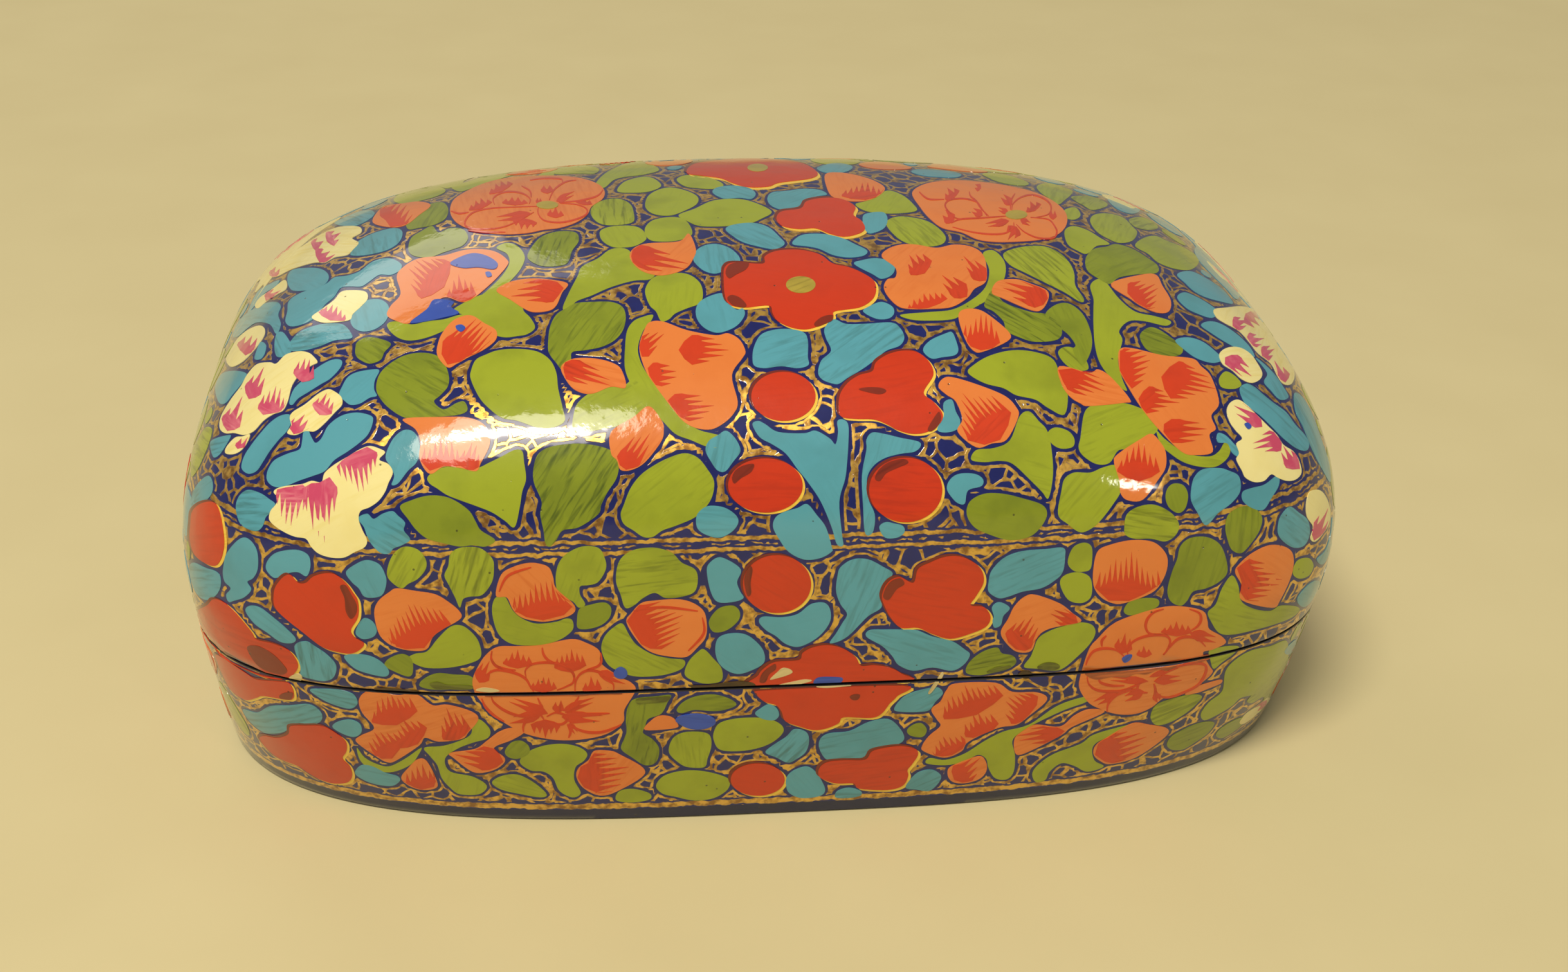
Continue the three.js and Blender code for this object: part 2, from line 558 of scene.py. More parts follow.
def varnished(name, colour, streak, streak_size=STREAK_SIZE, wear=0.35):
    """Gouache under clear varnish: brushed colour with streaks, dust specks and a glassy coat."""
    material = empty_material(name)
    place = {"Vector": (add(material, "TexCoord"), "Object")}
    brush = {"Vector": (add(material, "Attribute", {"attribute_name": "brush"}), "Vector")}
    # Streaks run along the brush's way, 5 mm long and half a millimetre wide, stronger in some motifs.
    way = {"Vector": add(material, "Mapping", {"Scale": BRUSH_STREAK}, brush)}
    own = add(material, "SeparateXYZ", {}, brush)
    load = {"From Min": 0.25, "From Max": 1.0, "To Max": wear * 2}
    loaded = add(material, "MapRange", load, {"Value": (own, "Z")})
    hairs = add(material, "TexNoise", {"Scale": 1.0, "Detail": 3.0, "Distortion": 0.4}, way)
    streaks = ramp(material, 0.46, 0.68, hairs)
    stroke = add(material, "Math", {"operation": "MULTIPLY"}, {0: streaks, 1: loaded})
    # Clouds of the same second colour show where the coat is thin.
    clouds = add(material, "TexNoise", {"Scale": 1 / streak_size, "Detail": 4.0}, place)
    thin = {"From Min": 0.48, "From Max": 0.78, "To Max": wear}
    cloud = add(material, "MapRange", thin, {"Value": clouds})
    share = add(material, "Math", {"operation": "MAXIMUM"}, {0: stroke, 1: cloud})
    tone = add(material, "Mix", {"data_type": "RGBA", 6: linear(colour), 7: linear(streak)}, {0: share})
    # Specks of dust sit in the varnish about 3 mm apart, and it is a little uneven over paper and paint.
    dust = add(material, "TexVoronoi", {"Scale": 1 / SPECK_SPACING}, place)
    small = {"From Min": 0.055, "From Max": 0.035, "To Max": 0.75}
    speck = add(material, "MapRange", small, {"Value": dust})
    dusty = add(material, "Mix", {"data_type": "RGBA", 7: linear(SPECK)}, {0: speck, 6: (tone, 2)})
    ripple = add(material, "TexNoise", {"Scale": 1 / RIPPLE, "Detail": 2.0}, place)
    grain = add(material, "TexNoise", {"Scale": 1 / GRAIN, "Detail": 3.0}, place)
    uneven = add(material, "Math", {"operation": "MULTIPLY_ADD", 1: 0.14}, {0: grain, 2: ripple})
    relief = add(material, "Math", {"operation": "MULTIPLY_ADD", 1: -0.5}, {0: speck, 2: uneven})
    bump = add(material, "Bump", VARNISH_RELIEF, {"Height": relief})
    gouache = add(
        material, "BsdfPrincipled", {"Roughness": 0.42, **VARNISH_COAT},
        {"Base Color": (dusty, 2), "Normal": bump, "Coat Normal": bump},
    )
    add(material, "OutputMaterial", {}, {"Surface": gouache})
    return material


YELLOW_SHIFT = (4, 3)
BROWN_SHIFT = (-4, -3)
YELLOW_LIFT = 0.00004
BROWN_LIFT = 0.00006
RED_LIFT = 0.00010
RED_DOTS = {
    "dot over the trefoil": (1218, 617, 50, 38),
    "dot left of the stem": (1190, 755, 58, 42),
    "dot right of the stem": (1408, 762, 57, 50),
    "dot on the wall": (1208, 908, 53, 45),
    "dot by the foot": (1178, 1212, 42, 25),
}
RED_FLOWERS = {
    "five petals": "1125,429 1129,414 1144,409 1186,411 1189,400 1204,392 1230,389 1254,391 1277,398"
        " 1295,411 1318,416 1342,426 1359,438 1362,453 1356,467 1336,479 1298,485 1295,494 1277,506"
        " 1254,513 1230,510 1209,500 1201,488 1195,476 1156,479 1130,470",
    "crown flower": "1068,270 1075,258 1100,252 1165,247 1240,253 1270,268 1262,278 1212,285 1195,291"
        " 1165,292 1140,286 1120,278 1090,274",
    "high trefoil": "1208,344 1209,335 1218,329 1245,325 1254,314 1277,309 1301,309 1318,314 1330,323"
        " 1327,335 1339,344 1345,356 1336,364 1312,369 1289,364 1268,356 1242,357 1218,353",
    "shoulder trefoil": "1304,637 1306,614 1318,596 1336,584 1356,578 1362,564 1380,552 1404,546 1427,549"
        " 1445,564 1451,584 1436,611 1451,625 1465,643 1462,658 1442,672 1418,675 1395,669 1380,661"
        " 1359,653 1330,652 1309,649",
    "wall trefoil": "1371,926 1380,906 1398,897 1420,906 1427,885 1445,875 1468,866 1492,865 1515,875"
        " 1527,888 1529,906 1518,926 1509,941 1530,944 1540,959 1533,974 1509,985 1477,993 1448,985"
        " 1427,976 1401,976 1386,962 1376,944",
    "seam flower, upper": "1177,1068 1179,1050 1189,1038 1206,1029 1242,1026 1248,1015 1265,1006 1289,1003"
        " 1312,1009 1330,1021 1339,1035 1359,1034 1383,1038 1401,1047 1406,1060",
    "seam flower, lower": "1177,1079 1195,1073 1404,1066 1395,1082 1383,1094 1371,1109 1354,1116 1312,1115"
        " 1304,1124 1286,1132 1265,1135 1242,1129 1221,1121 1215,1106 1206,1096 1189,1091",
    "foot trefoil": "1273,1206 1274,1194 1286,1185 1312,1182 1345,1181 1356,1168 1380,1162 1404,1160"
        " 1424,1165 1427,1174 1418,1188 1411,1197 1412,1206 1404,1221 1380,1228 1336,1226 1327,1218"
        " 1301,1218 1283,1213",
    "dot on the left end": "297,815 300,795 314,783 332,781 341,793 347,820 349,850 343,872 333,880"
        " 315,873 302,860 296,838",
    "left end, upper": "302,953 323,941 332,932 346,935 364,950 391,982 399,994 423,1000 446,1009 458,1021"
        " 464,1035 458,1047 446,1056 417,1054 394,1046 349,1024 335,1006 320,988 305,968",
    "left end, lower": "338,1018 379,1044 399,1056 429,1059 449,1062 457,1076 452,1088 411,1082 399,1085"
        " 382,1088 361,1074 349,1053 341,1035",
    "left wall": "426,926 429,912 441,897 452,894 464,906 476,906 488,896 508,891 523,894 538,906 549,921"
        " 557,935 557,959 546,979 552,991 566,1000 561,1009 546,1016 523,1013 502,1006 485,994 470,982"
        " 452,968 435,953 427,941",
    "left foot": "405,1150 411,1144 432,1147 449,1141 452,1129 476,1128 502,1129 523,1140 538,1153"
        " 539,1168 533,1179 544,1191 548,1206 541,1216 520,1218 499,1212 482,1203 464,1191 441,1182"
        " 423,1171",
}
red = varnished("red_gouache_under_varnish", RED, RED_STREAK)
yellow = varnished("yellow_edge_gouache", RED_YELLOW, "C8952E")
brown = varnished("brown_edge_gouache", RED_SHADE, "54180E")
red_rims = [oval(*dot) for dot in RED_DOTS.values()] + rims_of(RED_FLOWERS)
paint("yellow_edges", shifted(red_rims, *YELLOW_SHIFT), YELLOW_LIFT, yellow, ground=False)
paint("brown_edges", shifted(red_rims, *BROWN_SHIFT), BROWN_LIFT, brown, ground=False)
paint("red_flowers", red_rims, RED_LIFT, red)

# Olive leaves. The commonest motif, brushed in one flat yellow green with darker streaks where the
# brush was reloaded. Some are darker all over. They lie so close that only thin lines of navy show.
OLIVE = "93A024"
OLIVE_STREAK = "5F6A16"
DARKER_OLIVE = "7C8A1E"
DARKER_OLIVE_STREAK = "4B5A14"
OLIVE_LIFT = 0.00004
DARKER_OLIVE_LIFT = 0.000045
OLIVE_LEAVES = {
    "crest leaf 1": "612,312 625,300 650,293 680,290 693,297 680,305 655,312 630,318",
    "crest leaf 2": "632,345 650,330 668,318 688,315 697,325 693,340 675,350 650,355 635,357",
    "crest leaf 3": "635,385 640,370 655,360 672,352 682,362 700,355 720,357 728,370 720,382 705,388"
        " 690,393 670,400 650,400 638,395",
    "under the left flower": "602,505 615,500 640,505 665,500 690,497 715,490 725,492 712,505 690,515"
        " 665,525 640,530 622,527 608,517",
    "small round leaf": "553,540 556,532 570,525 590,527 608,535 598,548 592,560 575,566 560,560 553,552",
    "horizon leaf 1": "702,290 730,282 760,272 800,265 840,260 835,266 800,272 770,281 740,291 715,298",
    "horizon leaf 2": "840,265 870,259 905,257 930,262 925,270 895,270 865,271",
    "horizon leaf 3": "925,290 935,275 955,262 985,252 1010,255 1025,265 1000,272 975,275 955,280 940,292",
    "crest leaf 4": "960,298 968,285 985,278 1005,275 1020,280 1028,290 1010,298 985,300",
    "crest leaf 5": "1052,280 1065,273 1090,274 1115,281 1125,289 1110,294 1085,293 1065,290",
    "crest leaf 6": "1003,320 1008,305 1025,295 1045,292 1070,298 1085,307 1083,318 1065,328 1045,335"
        " 1025,335 1010,330",
    "crest leaf 7": "918,330 925,318 945,310 965,310 980,318 985,330 985,345 965,350 940,350 925,343",
    "crest leaf 8": "935,358 955,352 985,352 1000,359 1005,372 990,382 975,385 955,385 940,378 933,368",
    "crest leaf 9": "1003,355 1015,343 1040,338 1060,340 1072,350 1076,365 1060,373 1040,376 1015,375"
        " 1005,368",
    "crest leaf 10": "1055,335 1080,325 1110,312 1150,310 1180,318 1200,330 1185,340 1165,348 1130,352"
        " 1090,352 1070,345",
    "round leaf by the peony": "820,400 830,380 845,367 870,360 895,362 900,375 890,390 885,405 878,412"
        " 855,415 835,412",
    "crescent by the left flower": "772,386 788,378 806,384 816,400 810,418 795,436 775,453 755,470"
        " 740,468 760,450 780,430 792,410 788,395",
    "leaf by the left flower": "705,483 720,472 745,460 772,455 790,465 810,475 815,485 825,495 832,510"
        " 820,520 805,523 785,525 765,520 750,510 735,497 720,490",
    "long leaf over the top": "875,480 885,455 898,430 905,415 930,402 950,388 975,388 990,405 1010,420"
        " 1020,425 1010,435 985,437 950,447 920,460 895,470 885,485",
    "big dark leaf": "852,540 855,510 865,490 880,480 895,472 920,470 950,470 968,478 973,495 968,515"
        " 955,530 935,540 910,545 890,548 888,560 885,575 875,577 865,565 855,552",
    "round leaf by the big red": "1003,455 1008,440 1020,430 1045,425 1070,427 1088,440 1093,458 1088,472"
        " 1068,480 1050,488 1040,497 1028,500 1020,485 1010,475",
    "bent stem": "972,540 975,515 985,500 1000,493 1015,490 1012,500 1000,515 992,540 995,560 1005,580"
        " 1020,600 1040,625 1060,650 1085,668 1110,675 1125,680 1120,695 1100,695 1075,685 1050,675"
        " 1030,655 1005,632 985,605 972,575",
    "shoulder leaf 1": "585,603 590,583 605,567 630,553 660,549 685,557 697,580 697,600 685,615 675,625"
        " 690,637 710,627 722,625 727,638 715,645 690,648 660,650 630,650 605,635 590,618",
    "shoulder leaf 2": "732,590 733,575 740,560 755,552 775,545 805,543 835,547 855,560 865,580 868,605"
        " 875,635 878,655 860,665 835,665 805,655 780,650 760,635 745,618",
    "shoulder leaf 3": "893,640 900,625 920,610 945,603 970,600 985,590 1000,605 1010,620 1005,632 985,650"
        " 960,663 935,668 915,672 900,675 890,665",
    "lit leaf 1": "665,742 680,730 705,725 740,728 760,720 780,710 800,700 812,702 815,720 818,745 812,765"
        " 808,790 800,820 785,810 765,797 740,787 715,778 695,770 680,760 668,752",
    "dark leaf at the left": "622,788 640,778 665,771 690,772 710,780 730,795 740,812 748,825 770,840"
        " 755,850 735,848 715,850 690,845 665,838 648,825 635,808",
    "pointed leaf": "838,705 860,694 900,690 935,695 955,705 962,725 958,745 945,765 935,785 930,800"
        " 900,820 875,825 865,840 855,850 848,845 845,825 840,800 842,780 830,750 830,725",
    "lit leaf 2": "965,800 970,785 980,760 995,740 1015,725 1040,712 1065,705 1085,712 1100,730 1110,748"
        " 1108,770 1098,788 1080,805 1050,818 1030,825 1015,835 1000,835 985,825 970,815",
    "left edge leaf": "300,700 310,680 320,665 330,668 325,690 315,715 305,735 297,740",
    "leaf by the teal fans": "1330,318 1350,312 1370,300 1385,297 1405,305 1420,318 1425,328 1400,332"
        " 1370,332 1345,328",
    "leaf under the right peony": "1378,350 1385,340 1405,337 1435,342 1455,352 1470,368 1465,380 1440,384"
        " 1415,380 1395,370",
    "round the right flower": "1400,490 1440,486 1480,482 1510,467 1532,447 1538,420 1528,395 1545,390"
        " 1562,408 1562,432 1550,450 1535,467 1500,487 1480,497 1440,499 1415,497",
    "leaf by the right flower": "1545,450 1560,470 1600,485 1630,490 1650,510 1645,528 1610,532 1585,525"
        " 1565,515 1560,500 1545,485 1530,475",
    "shoulder leaf 4": "1505,580 1515,567 1540,553 1575,545 1610,548 1638,560 1650,590 1660,610 1655,645"
        " 1630,635 1610,622 1580,615 1560,604 1530,596",
    "shoulder leaf 5": "1585,648 1600,640 1615,655 1628,670 1635,700 1637,740 1630,775 1620,765 1600,745"
        " 1575,722 1555,717 1530,719 1510,715 1518,700 1545,697 1570,685",
    "dark leaf at the right": "1503,800 1508,780 1530,768 1560,768 1590,775 1620,785 1628,800 1618,820"
        " 1600,835 1570,840 1540,832 1515,820",
    "right crest leaf 1": "1612,290 1630,285 1655,292 1668,299 1655,312 1645,318 1630,308 1618,300",
    "right crest leaf 2": "1665,307 1690,305 1712,311 1722,320 1700,327 1685,320",
    "right crest leaf 3": "1655,327 1672,323 1680,335 1670,342 1655,338",
    "right crest leaf 4": "1695,345 1700,335 1720,332 1745,338 1760,352 1768,362 1760,375 1740,378"
        " 1720,370 1705,360",
    "right crest leaf 5": "1755,342 1775,338 1795,347 1800,355 1785,358 1765,353",
    "right crest leaf 6": "1655,360 1668,352 1690,358 1710,370 1725,380 1705,383 1690,395 1675,390"
        " 1660,380",
    "right crest leaf 7": "1765,383 1775,372 1795,367 1815,375 1840,385 1860,398 1863,410 1850,420"
        " 1825,418 1800,408 1785,395",
    "right crest leaf 8": "1688,402 1700,388 1720,384 1735,380 1760,387 1785,402 1800,414 1798,425"
        " 1770,427 1740,432 1725,442 1705,432 1690,420",
    "right long leaf": "1560,395 1585,385 1620,383 1645,392 1662,408 1670,425 1672,445 1685,465 1680,470"
        " 1655,455 1625,440 1595,425 1570,412",
    "right stem leaf 1": "1625,490 1640,475 1660,472 1680,485 1692,505 1698,530 1694,552 1682,568 1668,545"
        " 1672,537 1660,520 1640,505",
    "right stem leaf 2": "1695,445 1705,435 1718,438 1740,465 1765,485 1795,492 1820,500 1812,507 1780,500"
        " 1755,500 1740,515 1745,530 1738,560 1745,590 1752,608 1738,600 1720,580 1708,560 1702,535"
        " 1700,505 1700,480 1700,465",
    "right stem leaf 3": "1645,548 1655,540 1672,543 1688,560 1692,574 1680,577 1665,573 1652,562",
    "round leaf over the right bud": "1772,522 1785,510 1800,512 1820,525 1838,540 1835,552 1815,555"
        " 1795,550 1780,541",
    "small leaf by the cream": "1895,590 1905,578 1920,585 1930,598 1920,605 1900,603",
    "wide leaf at the right": "1685,645 1695,632 1715,627 1745,627 1765,632 1785,642 1800,662 1795,675"
        " 1778,683 1765,700 1740,700 1725,720 1705,722 1685,710 1677,697 1680,680",
    "crescent under the right flower": "1798,670 1810,682 1830,697 1850,707 1880,710 1895,702 1905,687"
        " 1913,697 1908,713 1890,726 1865,726 1840,719 1820,706 1805,692",
    "small oval leaf": "1628,675 1640,665 1660,670 1670,682 1668,695 1650,698 1635,690",
    "lit leaf 3": "1650,765 1655,745 1670,735 1695,735 1715,727 1735,724 1740,745 1742,765 1730,785"
        " 1715,805 1700,820 1680,828 1660,815 1645,800",
    "round leaf over the wall": "1748,820 1752,800 1770,788 1795,785 1820,797 1833,815 1828,832 1812,842"
        " 1790,838 1765,838 1750,832",
    "short leaf": "1815,760 1825,752 1840,755 1847,770 1843,790 1832,798 1818,790 1812,775",
    "dark leaf by the right end": "1905,820 1910,800 1930,788 1950,790 1962,805 1958,825 1945,845 1930,860"
        " 1915,855 1908,838",
    "leaf at the right wall": "1830,870 1835,850 1850,837 1875,835 1895,845 1905,865 1908,890 1895,905"
        " 1875,915 1855,920 1845,935 1835,942 1820,935 1815,918 1822,890",
    "wall leaf 1": "602,895 605,875 615,858 630,850 650,855 662,870 662,885 650,900 635,908 625,915"
        " 612,908",
    "wall leaf 2": "697,880 700,862 715,852 745,852 765,868 768,885 765,905 750,925 730,928 720,932"
        " 715,945 708,930 698,910 691,895",
    "wall leaf 3": "864,905 867,880 880,862 905,850 930,852 940,867 942,885 930,905 915,910 902,912"
        " 902,925 910,940 900,945 890,935 870,925",
    "wall leaf 4": "958,905 960,880 970,864 990,854 1020,852 1045,860 1060,875 1080,885 1085,900 1080,920"
        " 1060,928 1035,930 1018,922 1000,930 985,942 972,945 965,925",
    "wall leaf 5": "897,965 901,947 920,940 940,937 950,945 948,960 935,972 915,978 899,977",
    "wall leaf 6": "1102,970 1107,957 1120,945 1140,942 1150,951 1148,965 1130,980 1110,983",
    "cup under the wall bud": "765,950 770,930 785,928 797,949 812,962 835,970 865,967 880,962 890,965"
        " 890,980 870,995 840,1003 805,1003 785,996 772,980",
    "wide wall leaf": "935,1010 940,990 955,975 968,970 978,987 990,1003 1015,1018 1042,1024 1064,1027"
        " 1060,1040 1030,1050 990,1052 965,1045 945,1033",
    "wall leaf 7": "1065,1050 1070,1030 1085,1014 1095,1010 1110,1025 1122,1040 1122,1058 1105,1063"
        " 1085,1061",
    "left wide wall leaf": "635,1025 645,1017 664,1013 680,994 700,975 718,973 735,985 745,1000 748,1020"
        " 735,1030 700,1038 660,1038",
    "seam leaf 1": "652,1066 660,1055 680,1047 705,1049 730,1051 738,1060 730,1069 700,1072 670,1072",
    "small left wall leaf": "598,1035 605,1024 625,1017 640,1025 642,1045 635,1052 615,1045",
    "right wall leaf 1": "1660,875 1668,852 1685,844 1697,850 1698,870 1695,885 1685,889 1670,888",
    "right wall leaf 2": "1648,908 1655,895 1675,890 1693,896 1698,912 1695,930 1680,938 1660,932",
    "right wall leaf 3": "1607,1010 1615,992 1635,980 1660,972 1680,968 1698,972 1703,985 1693,1003"
        " 1673,1023 1655,1038 1640,1043 1612,1040 1592,1037 1602,1022",
    "right wall leaf 4": "1747,950 1757,935 1780,930 1800,932 1800,943 1780,952 1757,957",
    "cup under the right bud": "1915,895 1925,910 1930,935 1950,947 1975,950 1990,942 2015,943 2020,950"
        " 2005,962 1975,973 1945,981 1915,987 1895,984 1882,965 1878,952 1890,940 1900,915",
    "seam leaf 2": "1502,1046 1507,1030 1527,1014 1550,1007 1558,1016 1575,1020 1580,1030 1568,1040"
        " 1545,1046 1522,1050",
    "small leaf by the right edge": "2012,880 2020,870 2035,868 2042,880 2035,895 2020,900 2010,893",
    "base leaf 1": "735,1120 748,1120 762,1135 758,1148 735,1155 710,1165 692,1180 700,1200 735,1208"
        " 757,1222 745,1235 715,1235 700,1225 687,1210 680,1190 668,1175 660,1163 690,1160 720,1150"
        " 733,1140",
    "base leaf 2": "785,1168 795,1155 810,1152 822,1160 822,1172 805,1180 790,1177",
    "base leaf 3": "808,1185 820,1170 845,1160 875,1157 900,1162 913,1172 908,1183 895,1193 893,1213"
        " 903,1233 890,1240 870,1230 860,1210 845,1200 825,1198",
    "base leaf 4": "765,1217 780,1207 805,1205 830,1217 850,1235 840,1240 810,1235 780,1228",
    "base leaf 5": "957,1240 964,1230 985,1227 1010,1234 1010,1243 985,1248 962,1246",
    "base leaf 6": "973,1120 976,1100 987,1087 1020,1083 1043,1081 1038,1092 1028,1110 1008,1118 1003,1130"
        " 1000,1140 1015,1150 1025,1165 1020,1185 1003,1190 983,1178 966,1165 970,1150 974,1138",
    "base leaf 7": "1052,1104 1062,1092 1082,1083 1110,1080 1135,1087 1145,1096 1130,1103 1110,1106"
        " 1080,1104 1060,1109",
    "base leaf 8": "1040,1170 1045,1150 1060,1140 1085,1138 1103,1143 1106,1160 1100,1180 1095,1193"
        " 1070,1193 1055,1186",
    "base leaf 9": "1110,1138 1120,1124 1150,1117 1190,1117 1213,1126 1218,1138 1203,1153 1180,1163"
        " 1150,1168 1120,1166 1110,1152",
    "base leaf 10": "1020,1222 1032,1207 1060,1199 1090,1199 1118,1205 1134,1213 1131,1228 1110,1241"
        " 1080,1245 1050,1239 1030,1234",
    "base leaf 11": "1410,1136 1420,1127 1433,1125 1441,1135 1434,1146 1416,1144",
    "base leaf 12": "1440,1187 1446,1179 1470,1182 1500,1172 1530,1153 1560,1138 1600,1127 1640,1100"
        " 1670,1088 1698,1082 1688,1092 1655,1104 1612,1124 1588,1138 1574,1152 1578,1175 1576,1200"
        " 1565,1212 1547,1210 1537,1195 1533,1180 1520,1174 1500,1184 1470,1190",
    "base leaf 13": "1605,1202 1617,1187 1640,1172 1680,1157 1700,1143 1740,1131 1757,1128 1738,1141"
        " 1708,1153 1698,1165 1702,1183 1716,1192 1690,1200 1670,1191 1650,1187 1632,1200 1625,1213"
        " 1610,1216",
    "base leaf 14": "1880,1012 1900,1006 1925,1005 1920,1015 1900,1030 1887,1040 1882,1028",
    "base leaf 15": "1905,1045 1920,1027 1945,1012 1975,1005 1998,996 2003,1007 2003,1020 1998,1045"
        " 1980,1063 1960,1078 1930,1085 1915,1098 1890,1113 1872,1120 1867,1110 1880,1092 1900,1075",
    "base leaf 16": "1789,1112 1797,1097 1820,1087 1850,1080 1868,1082 1863,1092 1845,1108 1820,1123"
        " 1800,1128 1791,1122",
    "base leaf 17": "1814,1158 1822,1145 1845,1132 1870,1123 1888,1124 1878,1140 1860,1153 1840,1165"
        " 1822,1166",
    "base leaf 18": "1890,1143 1900,1131 1923,1118 1936,1116 1928,1130 1910,1143 1898,1148",
    "base leaf 19": "555,1163 567,1178 585,1188 605,1192 630,1180 655,1163 650,1175 640,1188 620,1198"
        " 600,1201 575,1195 560,1182",
}
DARKER_LEAVES = (
    "crest leaf 2; crest leaf 3; round leaf by the peony; small round leaf; shoulder leaf 1; big dark leaf;"
    " dark leaf at the left; pointed leaf; leaf by the right flower; right stem leaf 1; right crest leaf 8;"
    " round leaf over the right bud; dark leaf at the right; dark leaf by the right end; short leaf;"
    " wall leaf 5; wall leaf 6; seam leaf 1; small left wall leaf; right wall leaf 4; leaf at the right wall;"
    " seam leaf 2; base leaf 2; base leaf 6; base leaf 7; base leaf 11; base leaf 17; base leaf 18"
).split("; ")
olive = varnished("olive_gouache_under_varnish", OLIVE, OLIVE_STREAK, streak_size=0.007, wear=0.45)
darker_olive = varnished(
    "darker_olive_gouache", DARKER_OLIVE, DARKER_OLIVE_STREAK, streak_size=0.005, wear=0.50
)
lighter_rims = [pixels(words) for name, words in OLIVE_LEAVES.items() if name not in DARKER_LEAVES]
darker_rims = [pixels(OLIVE_LEAVES[name]) for name in DARKER_LEAVES]
paint("olive_leaves", lighter_rims, OLIVE_LIFT, olive)
paint("darker_olive_leaves", darker_rims, DARKER_OLIVE_LIFT, darker_olive)

